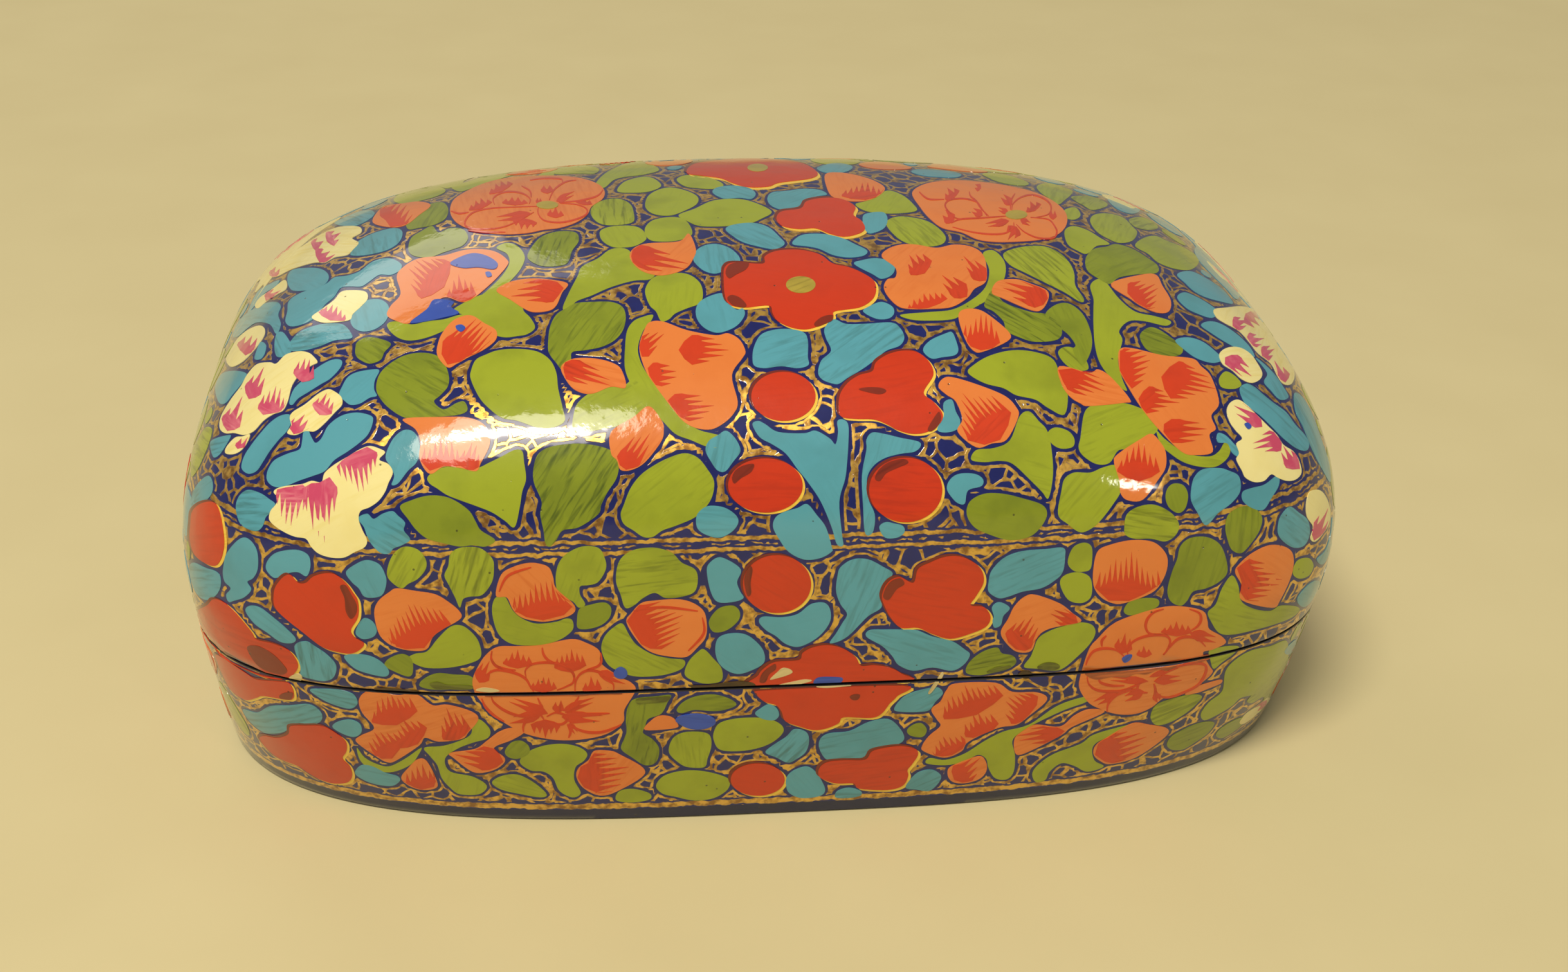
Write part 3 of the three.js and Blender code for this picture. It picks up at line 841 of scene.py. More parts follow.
# Teal leaves. Chalky blue green, mixed with white, so it covers in one coat and shows dark dust.
# Many of them gather round the cream flowers at both ends of the lid.
TEAL = "5299AB"
TEAL_STREAK = "3B6F74"
TEAL_LIFT = 0.00005
TEAL_LEAVES = {
    "left crest 1": "520,347 540,337 560,329 575,327 583,332 575,341 555,351 535,352",
    "left crest 2": "545,395 552,380 570,368 590,360 615,355 626,362 620,378 600,390 570,397 550,398",
    "left crest 3": "447,432 455,420 480,417 500,419 511,428 508,440 490,450 460,453 450,447",
    "left crest 4": "505,443 520,432 540,429 560,422 580,407 605,402 623,410 623,420 608,428 590,428"
        " 575,438 562,446 545,446 530,448 520,462 505,475 490,495 470,505 452,508 444,500 447,485 450,468"
        " 470,455",
    "left crest 5": "385,488 400,455 420,442 435,436 428,446 410,458 396,476",
    "left crest 6": "362,522 370,502 385,487 410,473 430,470 437,477 433,490 437,505 430,520 420,505"
        " 400,502 385,511 370,524",
    "left crest 7": "448,538 462,520 480,510 505,504 533,505 547,520 545,527 520,530 500,538 475,545"
        " 453,546",
    "left crest 8": "545,495 553,478 568,468 590,466 603,474 605,488 598,502 582,513 563,516 549,509",
    "left crest 9": "430,520 440,517 450,530 455,543 445,554 431,555 427,540",
    "left crest 10": "396,558 401,541 406,532 414,537 412,550 405,559",
    "left dim leaf": "335,602 345,582 365,577 384,582 375,598 362,614 350,628 340,625",
    "left fan 1": "450,626 457,606 472,591 487,577 507,564 522,559 532,562 529,573 514,589 499,598 480,610"
        " 464,620 455,630",
    "left fan 2": "532,602 541,587 556,579 580,575 590,577 583,592 582,606 586,616 575,619 560,628 545,630"
        " 535,623 527,615",
    "left fan 3": "376,728 380,710 392,691 407,672 421,657 436,647 450,645 454,653 447,670 434,684 419,703"
        " 409,719 399,733 386,737",
    "left fan 4": "415,745 417,731 427,716 447,706 466,699 470,686 472,673 478,667 485,681 491,689 500,682"
        " 511,662 531,647 555,642 577,647 580,656 573,675 559,689 540,703 520,716 505,733 485,741 465,748"
        " 445,756 431,758 421,754",
    "left fan 5": "600,714 602,701 612,682 626,670 640,670 650,681 653,700 648,719 634,733 619,752 609,754"
        " 613,740 606,724",
    "left small 1": "327,690 336,682 355,677 359,679 351,694 341,708 332,711",
    "left small 2": "302,762 313,747 325,740 331,751 329,769 315,784 302,792 297,780",
    "left small 3": "367,790 372,772 386,762 405,767 420,777 428,784 424,795 414,804 409,818 400,826"
        " 386,823 373,813",
    "left small 4": "348,880 352,862 368,842 382,836 395,847 401,862 401,885 394,899 385,905 391,917"
        " 380,929 365,934 356,936 352,925 359,915 350,905 347,893",
    "left small 5": "414,885 417,871 431,859 460,855 479,863 483,880 477,896 464,890 450,891 436,897"
        " 425,898",
    "left small 6": "557,806 571,799 581,807 595,799 610,795 619,802 630,813 628,825 638,839 625,848"
        " 612,853 605,861 592,860 579,848 571,834 566,820",
    "left end 1": "295,882 302,875 320,883 335,888 343,897 343,914 334,928 320,933 306,923 298,904",
    "left wall 1": "382,950 389,942 405,945 425,960 445,977 460,993 454,1000 436,998 416,984 396,970",
    "left wall 2": "458,1005 475,997 490,1005 510,1019 523,1035 519,1053 505,1059 485,1056 468,1050"
        " 467,1035",
    "left wall 3": "553,983 558,970 567,961 580,967 586,980 581,990 567,994 557,990",
    "left wall 4": "538,890 552,878 570,871 589,877 598,891 601,905 596,923 585,929 567,928 558,915"
        " 547,905",
    "left wall 5": "535,1021 552,1017 575,1020 594,1030 605,1044 599,1052 575,1048 551,1039",
    "left seam 1": "482,1073 500,1071 530,1073 550,1080 556,1094 544,1102 520,1096 500,1087",
    "left base 1": "378,1103 400,1108 420,1098 450,1097 480,1095 498,1106 501,1118 490,1126 460,1125"
        " 442,1138 417,1141 401,1133 387,1120",
    "left base 2": "517,1130 526,1122 545,1119 560,1126 562,1139 550,1146 531,1140",
    "left base 3": "552,1202 562,1190 580,1192 600,1202 618,1207 622,1214 610,1222 586,1220 566,1213",
    "crown 1": "1108,300 1115,292 1140,289 1165,293 1175,302 1168,310 1150,308 1125,309",
    "crown 2": "1128,357 1140,350 1170,347 1195,354 1213,370 1220,380 1205,388 1180,384 1155,377 1140,368",
    "crown 3": "1078,405 1082,391 1096,382 1115,380 1134,386 1148,398 1150,408 1135,413 1125,422 1110,426"
        " 1092,420",
    "crown 4": "1082,481 1089,469 1106,460 1124,457 1132,471 1145,482 1155,480 1158,490 1149,504 1135,513"
        " 1115,518 1096,511 1084,497",
    "crown 5": "1270,262 1285,256 1305,254 1325,259 1320,266 1300,270 1280,268",
    "crown 6": "1193,310 1200,300 1225,297 1250,294 1275,296 1286,303 1270,306 1255,313 1245,322 1220,327"
        " 1200,321",
    "crown 7": "1342,336 1355,331 1374,331 1380,341 1376,354 1364,361 1350,363 1343,352",
    "crown 8": "1232,380 1242,368 1260,364 1285,365 1310,371 1329,380 1348,390 1343,398 1320,401 1295,397"
        " 1275,388 1258,384",
    "crown 9": "1328,411 1341,405 1364,402 1389,409 1391,421 1384,430 1370,434 1357,427",
    "crown 10": "1342,485 1351,477 1370,470 1387,477 1390,488 1381,496 1362,496",
    "middle 1": "1170,560 1172,541 1182,522 1200,514 1225,512 1249,517 1256,530 1256,555 1257,568 1240,573"
        " 1215,570 1190,573 1174,570",
    "middle 2": "1272,580 1277,561 1292,546 1284,526 1282,511 1296,497 1315,504 1345,504 1385,502 1399,510"
        " 1406,525 1399,538 1378,546 1358,562 1340,575 1318,588 1305,597 1295,597 1279,591",
    "middle 3": "1435,545 1446,530 1470,519 1480,517 1486,529 1490,545 1484,553 1465,556 1448,558",
    "middle 4": "1170,660 1179,655 1190,660 1210,672 1250,674 1268,670 1290,682 1299,691 1303,672 1302,655"
        " 1312,653 1319,662 1319,690 1317,720 1314,745 1305,780 1309,830 1311,848 1301,846 1293,820"
        " 1276,780 1256,750 1240,730 1222,706 1202,692 1181,680",
    "middle 5": "1202,820 1205,806 1217,797 1240,790 1255,784 1270,801 1284,820 1293,850 1293,858 1275,868"
        " 1250,870 1226,858 1211,838",
    "middle 6": "1347,700 1347,684 1356,673 1375,675 1400,681 1428,687 1431,695 1421,703 1400,706 1375,713"
        " 1357,726 1348,745 1350,775 1360,800 1358,825 1350,833 1344,825 1342,790 1340,740",
    "middle 7": "1467,627 1480,622 1486,640 1493,655 1488,668 1470,673 1457,668 1467,648",
    "middle 8": "1472,760 1477,746 1491,737 1515,737 1528,745 1526,756 1505,763 1500,783 1490,783 1480,774",
    "middle 9": "1367,820 1377,812 1390,814 1404,818 1406,828 1395,836 1376,836",
    "under the bud 1": "1097,701 1102,686 1116,677 1128,670 1139,677 1148,690 1151,703 1140,718 1128,733"
        " 1116,732 1106,719",
    "under the bud 2": "1082,810 1086,797 1101,787 1125,789 1143,800 1148,812 1139,826 1120,836 1101,833"
        " 1086,824",
    "wall 1": "1099,890 1102,877 1116,867 1130,870 1148,881 1152,890 1146,905 1151,920 1156,930 1140,936"
        " 1116,936 1105,920",
    "wall 2": "1112,1010 1117,992 1136,985 1160,987 1179,1001 1188,1015 1188,1030 1174,1040 1150,1048"
        " 1131,1043 1117,1030",
    "wall 3": "1180,967 1187,959 1215,960 1240,955 1260,940 1280,937 1290,946 1291,965 1279,984 1261,998"
        " 1240,1006 1221,1001 1206,989 1191,980",
    "wall 4": "1300,920 1302,896 1307,882 1326,870 1350,870 1374,882 1388,892 1376,908 1370,930 1370,945"
        " 1350,958 1335,973 1320,988 1305,997 1290,1000 1300,985 1309,970 1317,955 1307,940",
    "wall 5": "1347,990 1352,980 1375,979 1400,979 1425,980 1450,990 1480,997 1500,1010 1508,1018"
        " 1499,1033 1480,1043 1450,1038 1420,1043 1397,1034 1387,1020 1372,1005",
    "wall 6": "1545,958 1542,945 1550,937 1560,938 1570,946 1560,958 1556,972 1546,976 1543,966",
    "wall 7": "1537,905 1542,887 1562,867 1590,857 1625,854 1653,852 1656,865 1652,890 1638,904 1618,915"
        " 1590,920 1567,928 1552,930 1537,920",
    "base 1": "1174,1110 1182,1102 1196,1095 1208,1102 1211,1113 1203,1120 1186,1118",
    "base 2": "1190,1170 1202,1159 1222,1146 1235,1134 1253,1138 1258,1151 1253,1169 1239,1180 1225,1186"
        " 1207,1178",
    "base 3": "1273,1160 1277,1147 1291,1140 1320,1137 1350,1123 1380,1118 1398,1131 1406,1148 1394,1158"
        " 1365,1161 1352,1170 1345,1178 1315,1179 1290,1182 1280,1176",
    "base 4": "1390,1103 1400,1088 1415,1078 1440,1071 1458,1069 1466,1078 1454,1092 1445,1104 1430,1107"
        " 1402,1107",
    "base 5": "1224,1207 1236,1197 1255,1192 1269,1201 1278,1215 1283,1229 1274,1238 1246,1241 1227,1233"
        " 1222,1220",
    "base 6": "1299,1240 1302,1230 1320,1225 1338,1230 1338,1237 1320,1241",
    "base 7": "1408,1225 1417,1210 1430,1200 1449,1197 1463,1206 1458,1219 1444,1230 1426,1228",
    "right crest 1": "1830,427 1850,422 1875,433 1899,449 1913,465 1916,473 1900,470 1875,463 1856,453"
        " 1842,440",
    "right crest 2": "1857,387 1875,384 1895,401 1914,425 1928,448 1923,466 1905,448 1881,424 1863,404",
    "right crest 3": "1830,463 1841,455 1860,462 1879,473 1893,485 1884,495 1861,488 1844,479",
    "right crest 4": "1867,506 1881,500 1900,505 1924,521 1943,540 1950,556 1930,546 1906,533 1884,519",
    "right crest 5": "1827,530 1846,525 1870,532 1893,550 1900,560 1885,565 1861,558 1842,545",
    "right crest 6": "1722,310 1745,313 1772,326 1760,333 1737,325",
    "right fan 1": "1927,606 1937,597 1950,602 1964,614 1980,627 1999,641 2014,661 2028,676 2035,690"
        " 2031,701 2016,698 1996,683 1977,664 1957,645 1937,630",
    "right fan 2": "1952,557 1966,567 1981,582 1995,602 2003,618 1990,622 1976,608 1965,594 1970,580",
    "right fan 3": "1893,688 1893,674 1905,677 1918,690 1926,700 1924,710 1915,704 1908,690",
    "right fan 4": "1852,760 1857,742 1870,730 1895,728 1910,732 1926,741 1928,764 1914,783 1894,798"
        " 1875,817 1862,798 1852,779",
    "right fan 5": "1932,765 1946,759 1965,754 1980,743 1988,738 1988,755 1977,774 1964,793 1946,790"
        " 1932,779",
    "right fan 6": "1987,815 1992,801 2005,788 2019,797 2033,809 2036,830 2028,848 2012,852 1996,843"
        " 1987,831",
    "right edge 1": "2012,612 2025,618 2039,642 2053,680 2066,720 2068,750 2058,735 2040,700 2026,665"
        " 2014,640",
    "right edge 2": "2047,870 2060,856 2068,832 2071,805 2073,830 2065,865 2055,878",
    "right edge 3": "2017,930 2031,912 2044,903 2052,907 2043,929 2030,943 2020,941",
    "right edge 4": "1997,1013 2006,1001 2016,994 2018,1003 2009,1014 2001,1018",
}
teal = varnished("teal_gouache_under_varnish", TEAL, TEAL_STREAK, streak_size=0.008, wear=0.40)
paint("teal_leaves", rims_of(TEAL_LEAVES), TEAL_LIFT, teal)

# Orange buds and peonies. A flat orange petal shape, with pointed red brush strokes fanned from
# the base of each petal. The peonies have their petal edges drawn in the same red.
ORANGE = "D67A39"
ORANGE_STREAK = "C86424"
STROKE_RED = "C63A16"
STROKE_RED_STREAK = "9E2A10"
PETAL_LIFT = 0.00007
FAN_LIFT = 0.00010
LINE_LIFT = 0.00011
ORANGE_PETALS = {
    "three petals at the middle": "1003,511 1012,501 1032,501 1068,514 1112,522 1132,519 1150,529 1159,547"
        " 1154,558 1138,584 1147,625 1141,643 1126,658 1106,668 1082,666 1062,655 1044,634 1018,599"
        " 1003,575 994,541",
    "bud 1": "873,578 876,566 894,558 924,558 950,564 966,575 973,603 950,602 924,612 906,612 888,602",
    "bud 2": "1009,632 1029,655 1032,669 1028,687 1003,719 982,731 965,731 959,716 950,705 950,672 985,649",
    "left shoulder flower": "627,652 682,649 729,650 756,664 762,690 748,720 740,733 715,728 690,726"
        " 672,737 661,731 652,711 654,687 646,668",
    "bud 3": "1459,602 1465,590 1480,587 1521,599 1562,616 1580,634 1583,649 1565,684 1542,690 1518,696"
        " 1489,672 1496,652 1486,625 1471,614",
    "left crest flower": "617,432 625,418 650,403 690,398 720,390 745,388 770,392 788,404 788,415 760,445"
        " 725,470 696,463 682,467 667,479 638,503 617,500 602,491 608,476 623,458",
    "bud 4": "680,553 682,532 691,514 708,497 732,491 753,503 771,514 771,529 753,544 729,556 711,566"
        " 696,572",
    "bud 5": "772,453 788,441 812,435 841,434 882,441 874,456 865,476 853,484 829,486 812,479 794,467",
    "bud 6": "979,397 988,385 1009,379 1056,376 1071,364 1082,388 1078,403 1068,417 1047,426 1024,429"
        " 1000,423 985,411",
    "right crest flower": "1371,400 1380,388 1401,381 1424,381 1456,386 1483,381 1509,384 1526,394"
        " 1533,411 1533,438 1515,450 1504,464 1480,478 1448,481 1412,481 1395,476 1380,461 1374,447"
        " 1380,435 1392,432 1392,417",
    "bud 7": "1490,494 1498,482 1521,482 1542,494 1570,519 1565,532 1530,547 1515,547 1501,529",
    "bud 8": "1283,272 1306,269 1336,274 1362,283 1376,294 1365,306 1345,313 1318,313 1295,307 1286,294",
    "bud 9": "580,347 588,329 602,320 626,317 652,314 670,320 652,335 632,350 608,354",
    "bud 10": "1542,456 1551,438 1580,435 1603,442 1627,452 1630,465 1620,482 1603,483 1560,465",
    "bud 11": "1727,442 1773,428 1797,428 1807,445 1820,468 1817,485 1800,487 1777,478 1757,465",
    "bud 12": "1647,570 1693,580 1707,575 1727,587 1757,622 1747,627 1693,632 1680,628 1663,617 1650,597",
    "right shoulder flower": "1740,573 1740,545 1760,542 1807,553 1853,558 1867,570 1883,587 1895,627"
        " 1883,647 1890,667 1880,677 1885,703 1860,708 1837,703 1803,670 1773,633 1747,590",
    "bud 13": "1732,720 1737,707 1773,683 1790,675 1803,687 1812,703 1812,727 1800,747 1777,777 1753,778"
        " 1742,767 1740,747",
    "wall bud 1": "582,953 588,935 605,921 617,915 646,919 676,924 696,935 714,950 716,962 688,979 673,991"
        " 664,1009 644,1012 617,1007 599,997 588,982",
    "wall bud 2": "771,926 779,894 797,882 818,876 835,876 853,882 860,897 865,915 893,941 888,956 853,966"
        " 829,965 809,959 797,947 788,929",
    "wall bud 3": "974,968 982,953 997,938 1018,934 1053,932 1076,937 1094,950 1099,971 1097,991 1085,1006"
        " 1068,1021 1044,1021 1015,1015 994,1000",
    "wall bud 4": "1556,982 1567,963 1577,943 1593,928 1610,925 1647,938 1667,953 1680,967 1633,977"
        " 1613,990 1603,1012 1580,1013 1562,997",
    "wall bud 5": "1700,910 1700,883 1707,857 1727,847 1760,840 1793,843 1812,860 1815,880 1807,903"
        " 1790,922 1747,938 1727,937 1710,927",
    "wall bud 6": "1920,890 1927,877 1947,860 1973,848 1997,850 2010,863 2008,893 1990,933 1977,945"
        " 1930,933 1930,910",
    "base flower 1": "558,1091 564,1079 579,1075 617,1081 635,1079 652,1082 673,1097 696,1096 732,1106"
        " 744,1118 729,1138 718,1149 682,1153 661,1147 652,1159 617,1182 602,1185 582,1174 554,1153"
        " 561,1144 582,1132 564,1109",
    "base bud 1": "624,1209 635,1194 649,1181 664,1184 680,1216 676,1226 655,1228 635,1221",
    "base bud 2": "700,1171 738,1165 756,1153 776,1138 797,1132 815,1138 797,1150 768,1163 785,1179"
        " 779,1191 759,1200 735,1200 706,1179",
    "base bud 3": "896,1206 900,1194 915,1182 924,1168 950,1168 965,1174 1000,1194 997,1209 956,1232"
        " 935,1237 918,1232 903,1221",
    "base stem": "1003,1135 1012,1121 1026,1113 1044,1115 1053,1124 1050,1132",
    "thin petal by the right foot": "1842,1080 1856,1069 1878,1062 1899,1057 1897,1063 1880,1070 1862,1077",
    "base flower 2": "1448,1103 1462,1091 1471,1074 1486,1063 1548,1062 1574,1076 1613,1077 1628,1088"
        " 1600,1113 1580,1127 1551,1132 1506,1153 1495,1168 1468,1178 1436,1168 1434,1159 1445,1144"
        " 1462,1129 1456,1118",
    "base bud 4": "1473,1203 1480,1191 1521,1176 1533,1185 1533,1200 1521,1212 1498,1218 1480,1215",
    "base bud 5": "1577,1150 1590,1137 1610,1127 1648,1130 1670,1113 1693,1103 1717,1107 1667,1130"
        " 1650,1143 1603,1167 1580,1173",
    "base bud 6": "1700,1173 1703,1160 1720,1147 1760,1125 1787,1127 1815,1133 1810,1147 1767,1177"
        " 1727,1188 1710,1183",
    "horizon petal 1": "1003,254 1020,248 1050,247 1078,250 1060,256 1025,258",
    "horizon petal 2": "1335,256 1360,252 1395,255 1418,262 1390,264 1355,262",
    "left seam peony": "738,1076 735,1056 744,1035 756,1018 774,1006 805,1005 841,1003 888,994 912,1000"
        " 932,1012 935,1032 965,1053 982,1062 988,1074 971,1103 968,1124 935,1144 876,1151 818,1141"
        " 771,1115 753,1097",
    "right seam peony": "1678,1070 1680,1050 1693,1010 1707,993 1727,973 1753,960 1803,945 1837,943"
        " 1870,950 1877,965 1880,978 1900,990 1905,1000 1885,1010 1870,1015 1880,1035 1885,1045 1870,1060"
        " 1845,1075 1810,1085 1790,1100 1765,1110 1735,1110 1705,1100 1690,1090",
    "left crown peony": "700,330 705,312 725,298 755,285 790,277 830,274 870,274 905,278 930,287 940,298"
        " 937,310 920,322 913,335 895,347 870,355 845,358 820,363 785,365 750,362 725,355 708,345",
    "right crown peony": "1418,302 1430,290 1455,283 1490,281 1530,284 1570,290 1610,300 1640,315 1657,332"
        " 1658,350 1645,365 1620,373 1590,376 1550,377 1520,373 1495,362 1465,355 1445,340 1430,322",
}
RED_FANS = {
    "middle flower": "995,545>1020,525 25; 1070,545>1115,545 35; 1012,585>1045,583 30; 1045,637>1090,633"
        " 35",
    "buds 1 and 2": "876,572>930,590 28; 975,728>1000,690 35",
    "left shoulder flower": "690,728>690,695 55; 728,725>735,700 25",
    "bud 3": "1545,672>1515,635 60",
    "left crest flower": "682,440>655,418 55; 718,465>715,442 35",
    "buds 4 to 6": "705,558>745,515 45; 865,450>815,455 30; 985,400>1040,410 30",
    "right crest flower": "1434,420>1422,402 30; 1526,430>1506,408 20; 1496,456>1474,437 22;"
        " 1442,477>1438,464 50",
    "buds 7 to 9": "1525,538>1525,505 45; 1345,308>1345,292 55; 612,348>625,330 60",
    "buds 10 to 12": "1620,462>1580,450 30; 1765,470>1790,455 45; 1660,582>1705,600 40",
    "right shoulder flower": "1745,575>1775,565 50; 1820,590>1865,600 45; 1780,622>1812,625 32;"
        " 1815,672>1860,672 30",
    "bud 13": "1770,738>1770,705 50",
    "wall buds 1 and 2": "655,996>640,962 80; 843,956>838,920 85",
    "wall buds 3 and 4": "990,985>1040,965 60; 1583,1003>1600,975 40; 1668,965>1645,955 25",
    "wall buds 5 and 6": "1755,928>1755,885 80; 1928,905>1968,905 55",
    "base flower 1": "615,1118>608,1090 55; 712,1145>700,1115 35; 645,1150>630,1130 40; 605,1172>590,1150"
        " 45",
    "base buds": "655,1224>650,1200 50; 772,1182>725,1172 30; 905,1208>955,1200 55; 1490,1207>1510,1190"
        " 32; 1645,1138>1600,1145 25; 1712,1170>1755,1155 50",
    "base flower 2": "1515,1103>1505,1078 75; 1528,1138>1520,1118 42; 1598,1108>1578,1092 45;"
        " 1478,1170>1470,1153 48",
    "left seam peony": "805,1034>805,1013 46; 887,1039>885,1014 50; 845,1072>845,1053 42;"
        " 921,1074>919,1054 30; 748,1055>760,1030 25; 840,1105>792,1087 16; 832,1112>788,1121 19;"
        " 868,1104>868,1087 18; 886,1101>932,1085 14; 886,1115>938,1117 19; 848,1124>848,1145 46;"
        " 887,1128>898,1142 11; 938,1048>974,1060 16",
    "right seam peony": "1746,1010>1749,986 28; 1779,1019>1778,1005 24; 1829,985>1829,968 48;"
        " 1859,987>1896,996 18; 1771,1058>1714,1054 12; 1804,1058>1845,1053 15; 1796,1049>1834,1036 8;"
        " 1771,1077>1744,1088 17; 1729,1081>1701,1094 15; 1797,1081>1803,1094 14",
    "left crown peony": "780,296>775,285 40; 748,323>744,312 38; 801,318>801,308 40; 838,316>838,307 10;"
        " 851,299>850,286 20; 871,311>896,300 11; 908,318>909,310 26; 864,337>864,325 26; 814,335>763,343"
        " 14; 816,344>815,358 38",
    "right crown peony": "1482,306>1475,296 26; 1479,343>1466,330 20; 1524,334>1509,326 13;"
        " 1523,293>1514,290 12; 1570,316>1556,304 14; 1564,330>1550,325 9; 1608,326>1602,315 26;"
        " 1637,339>1637,325 12; 1590,344>1605,351 10; 1561,346>1529,352 12; 1578,357>1569,371 24",
}
RED_LINES = {
    "left seam peony": "765,1012 764,1024 771,1035 786,1040 802,1042; 843,1007 845,1017 852,1026 864,1031;"
        " 818,1053 817,1042 827,1033 846,1030 868,1032 884,1040 892,1049 891,1061 879,1068 866,1073;"
        " 894,1075 895,1060 902,1048 916,1042 934,1046 940,1055 953,1063 954,1073; 934,1015 935,1028"
        " 929,1036 912,1041; 752,1056 757,1049 770,1042 787,1043 805,1048 818,1056 825,1068 830,1075;"
        " 764,1083 768,1092 782,1103 800,1111 818,1114 836,1110; 749,1086 755,1099 768,1112 784,1122;"
        " 836,1085 840,1094 843,1101 841,1110 846,1119; 850,1114 864,1108 879,1112 882,1119 873,1126"
        " 857,1124 848,1119; 879,1108 889,1099 896,1090 900,1083; 881,1108 912,1110 948,1109; 886,1122"
        " 893,1131 912,1138 936,1138 957,1131 966,1126; 882,1126 887,1137 884,1147; 814,1138 814,1128"
        " 821,1119 836,1114",
    "right seam peony": "1688,1034 1692,1023 1701,1012 1718,1008 1736,1011 1748,1021; 1713,1005 1713,996"
        " 1720,988; 1754,1021 1753,1010 1761,998 1778,990 1798,987 1814,989 1819,998 1814,1011 1808,1018;"
        " 1808,986 1788,985 1781,975 1784,962 1794,952 1809,947; 1849,947 1864,953 1867,963 1862,973"
        " 1852,980; 1809,1018 1819,1005 1832,993 1849,990 1864,995 1874,1005; 1690,1052 1693,1064"
        " 1706,1073 1728,1075 1748,1073 1771,1063 1779,1058; 1708,1053 1711,1061 1728,1066 1748,1066;"
        " 1721,1107 1723,1094 1735,1081 1753,1074 1768,1071; 1794,1063 1796,1074 1793,1088; 1798,1058"
        " 1814,1045 1832,1036 1852,1032 1869,1032 1875,1038 1872,1051 1861,1066 1839,1077 1818,1084"
        " 1803,1082 1796,1071; 1771,1064 1768,1071 1774,1076 1784,1077",
    "left crown peony": "835,322 799,323 763,325 737,331 725,342 724,352 737,357 763,357 786,353 811,342"
        " 830,331; 701,329 714,333 729,331; 769,319 767,310 777,302 794,299 813,302 824,310 823,318;"
        " 811,290 824,298 826,308; 824,281 847,278 871,279 875,284; 854,312 862,296 879,284 896,281;"
        " 938,296 928,306 901,313 869,316; 871,317 896,319 911,325 912,334 896,342 871,347 847,344 837,334"
        " 837,323; 728,359 756,362 786,362",
    "right crown peony": "1534,337 1525,323 1518,315 1500,310 1480,311 1471,316 1470,323 1477,332 1489,341"
        " 1521,341; 1507,299 1509,306 1518,314 1525,325 1537,337; 1429,299 1436,306 1446,311 1468,311;"
        " 1479,348 1493,342 1525,340 1564,337; 1481,354 1507,361 1536,365 1561,364 1575,356 1576,347;"
        " 1580,350 1593,362 1614,371 1637,371 1643,362 1639,352 1629,342 1602,339; 1573,328 1575,318"
        " 1587,308 1605,304 1625,311 1634,322 1630,334 1611,339; 1571,327 1572,313 1578,302",
    "wall buds": "776,920 790,895 826,882; 985,950 1030,944 1085,950; 1092,960 1094,985 1070,1012",
}
PETAL_FAN = 1.32
PEONY_FAN = 1.0
STROKE_WIDTH = 9
CROWN_LINE = 1.3
WALL_LINE = 2.1
LINE_STEPS = 6
REACH_SPREAD = 0.12
DRAW_IN_STEPS = 14
DRAW_IN_SHARE = 0.14


def fan(words, petals, rng, size):
    """Strokes fanned from the base of a petal: base>tip and the width at the base, in pixels."""
    where, wide = words.split()
    base, tip = [Vector(p) for p in [pixels(end)[0] for end in where.split(">")]]
    wide = float(wide) * size
    ahead = (tip - base) * size
    side = Vector((-ahead.y, ahead.x)).normalized()
    strokes = max(2, round(wide / STROKE_WIDTH))
    rim = []
    # Each stroke is a spike: its left flank twice, its tip, and the notch before the next stroke.
    for i in range(strokes):
        left = (i / strokes - 0.5) * wide
        mid = ((i + 0.5) / strokes - 0.5) * wide * 0.92
        reach = 1.05 - 1.1 * abs((i + 0.5) / strokes - 0.5) + rng.uniform(-REACH_SPREAD, REACH_SPREAD)
        rim.append(base + side * left + ahead * reach * 0.42)
        rim.append(base + side * (left * 0.6 + mid * 0.4) + ahead * reach * 0.62)
        rim.append(base + side * mid + ahead * reach * 1.12)
        rim.append(base + side * (left + wide / strokes * 0.8) * 0.97 + ahead * reach * 0.58)
    rim.append(base + side * wide / 2 + ahead * 0.1)
    for share in (0.3, 0.0, -0.3):
        rim.append(base + side * wide * share - ahead * 0.25 * (1 - abs(share) * 2))
    rim.append(base - side * wide / 2 + ahead * 0.1)
    middle = base + ahead * 0.3
    # Points that would stand out of the petal are drawn in toward the fan's middle.
    holder = [petal for petal in petals if inside_rim(middle.x, middle.y, petal)]
    kept = []
    for p in rim:
        for _ in range(DRAW_IN_STEPS):
            if not holder or inside_rim(p.x, p.y, holder[-1]):
                break
            p = p.lerp(middle, DRAW_IN_SHARE)
        kept.append((p.x, p.y))
    return kept


def brush_line(words, thick):
    """Outline of a line drawn with a fine brush through the points, thinner at its ends."""
    path = [Vector(p) for p in pixels(words)]
    last = len(path) - 1
    fine = []
    for i in range(last):
        around = (path[max(0, i - 1)], path[i], path[i + 1], path[min(last, i + 2)])
        fine += [curve_point(*around, k / LINE_STEPS) for k in range(LINE_STEPS)]
    fine.append(path[-1])
    sides = ([], [])
    for i, p in enumerate(fine):
        ahead = (fine[min(i + 1, len(fine) - 1)] - fine[max(i - 1, 0)]).normalized()
        half = thick * (0.35 + 0.65 * math.sin(math.pi * (i + 0.3) / (len(fine) - 0.4)))
        sides[0].append((p.x - ahead.y * half, p.y + ahead.x * half))
        sides[1].append((p.x + ahead.y * half, p.y - ahead.x * half))
    return sides[0] + sides[1][::-1]


def rounded_petals(rims):
    return [[tuple(p) for p in rounded(rim)] for rim in rims]


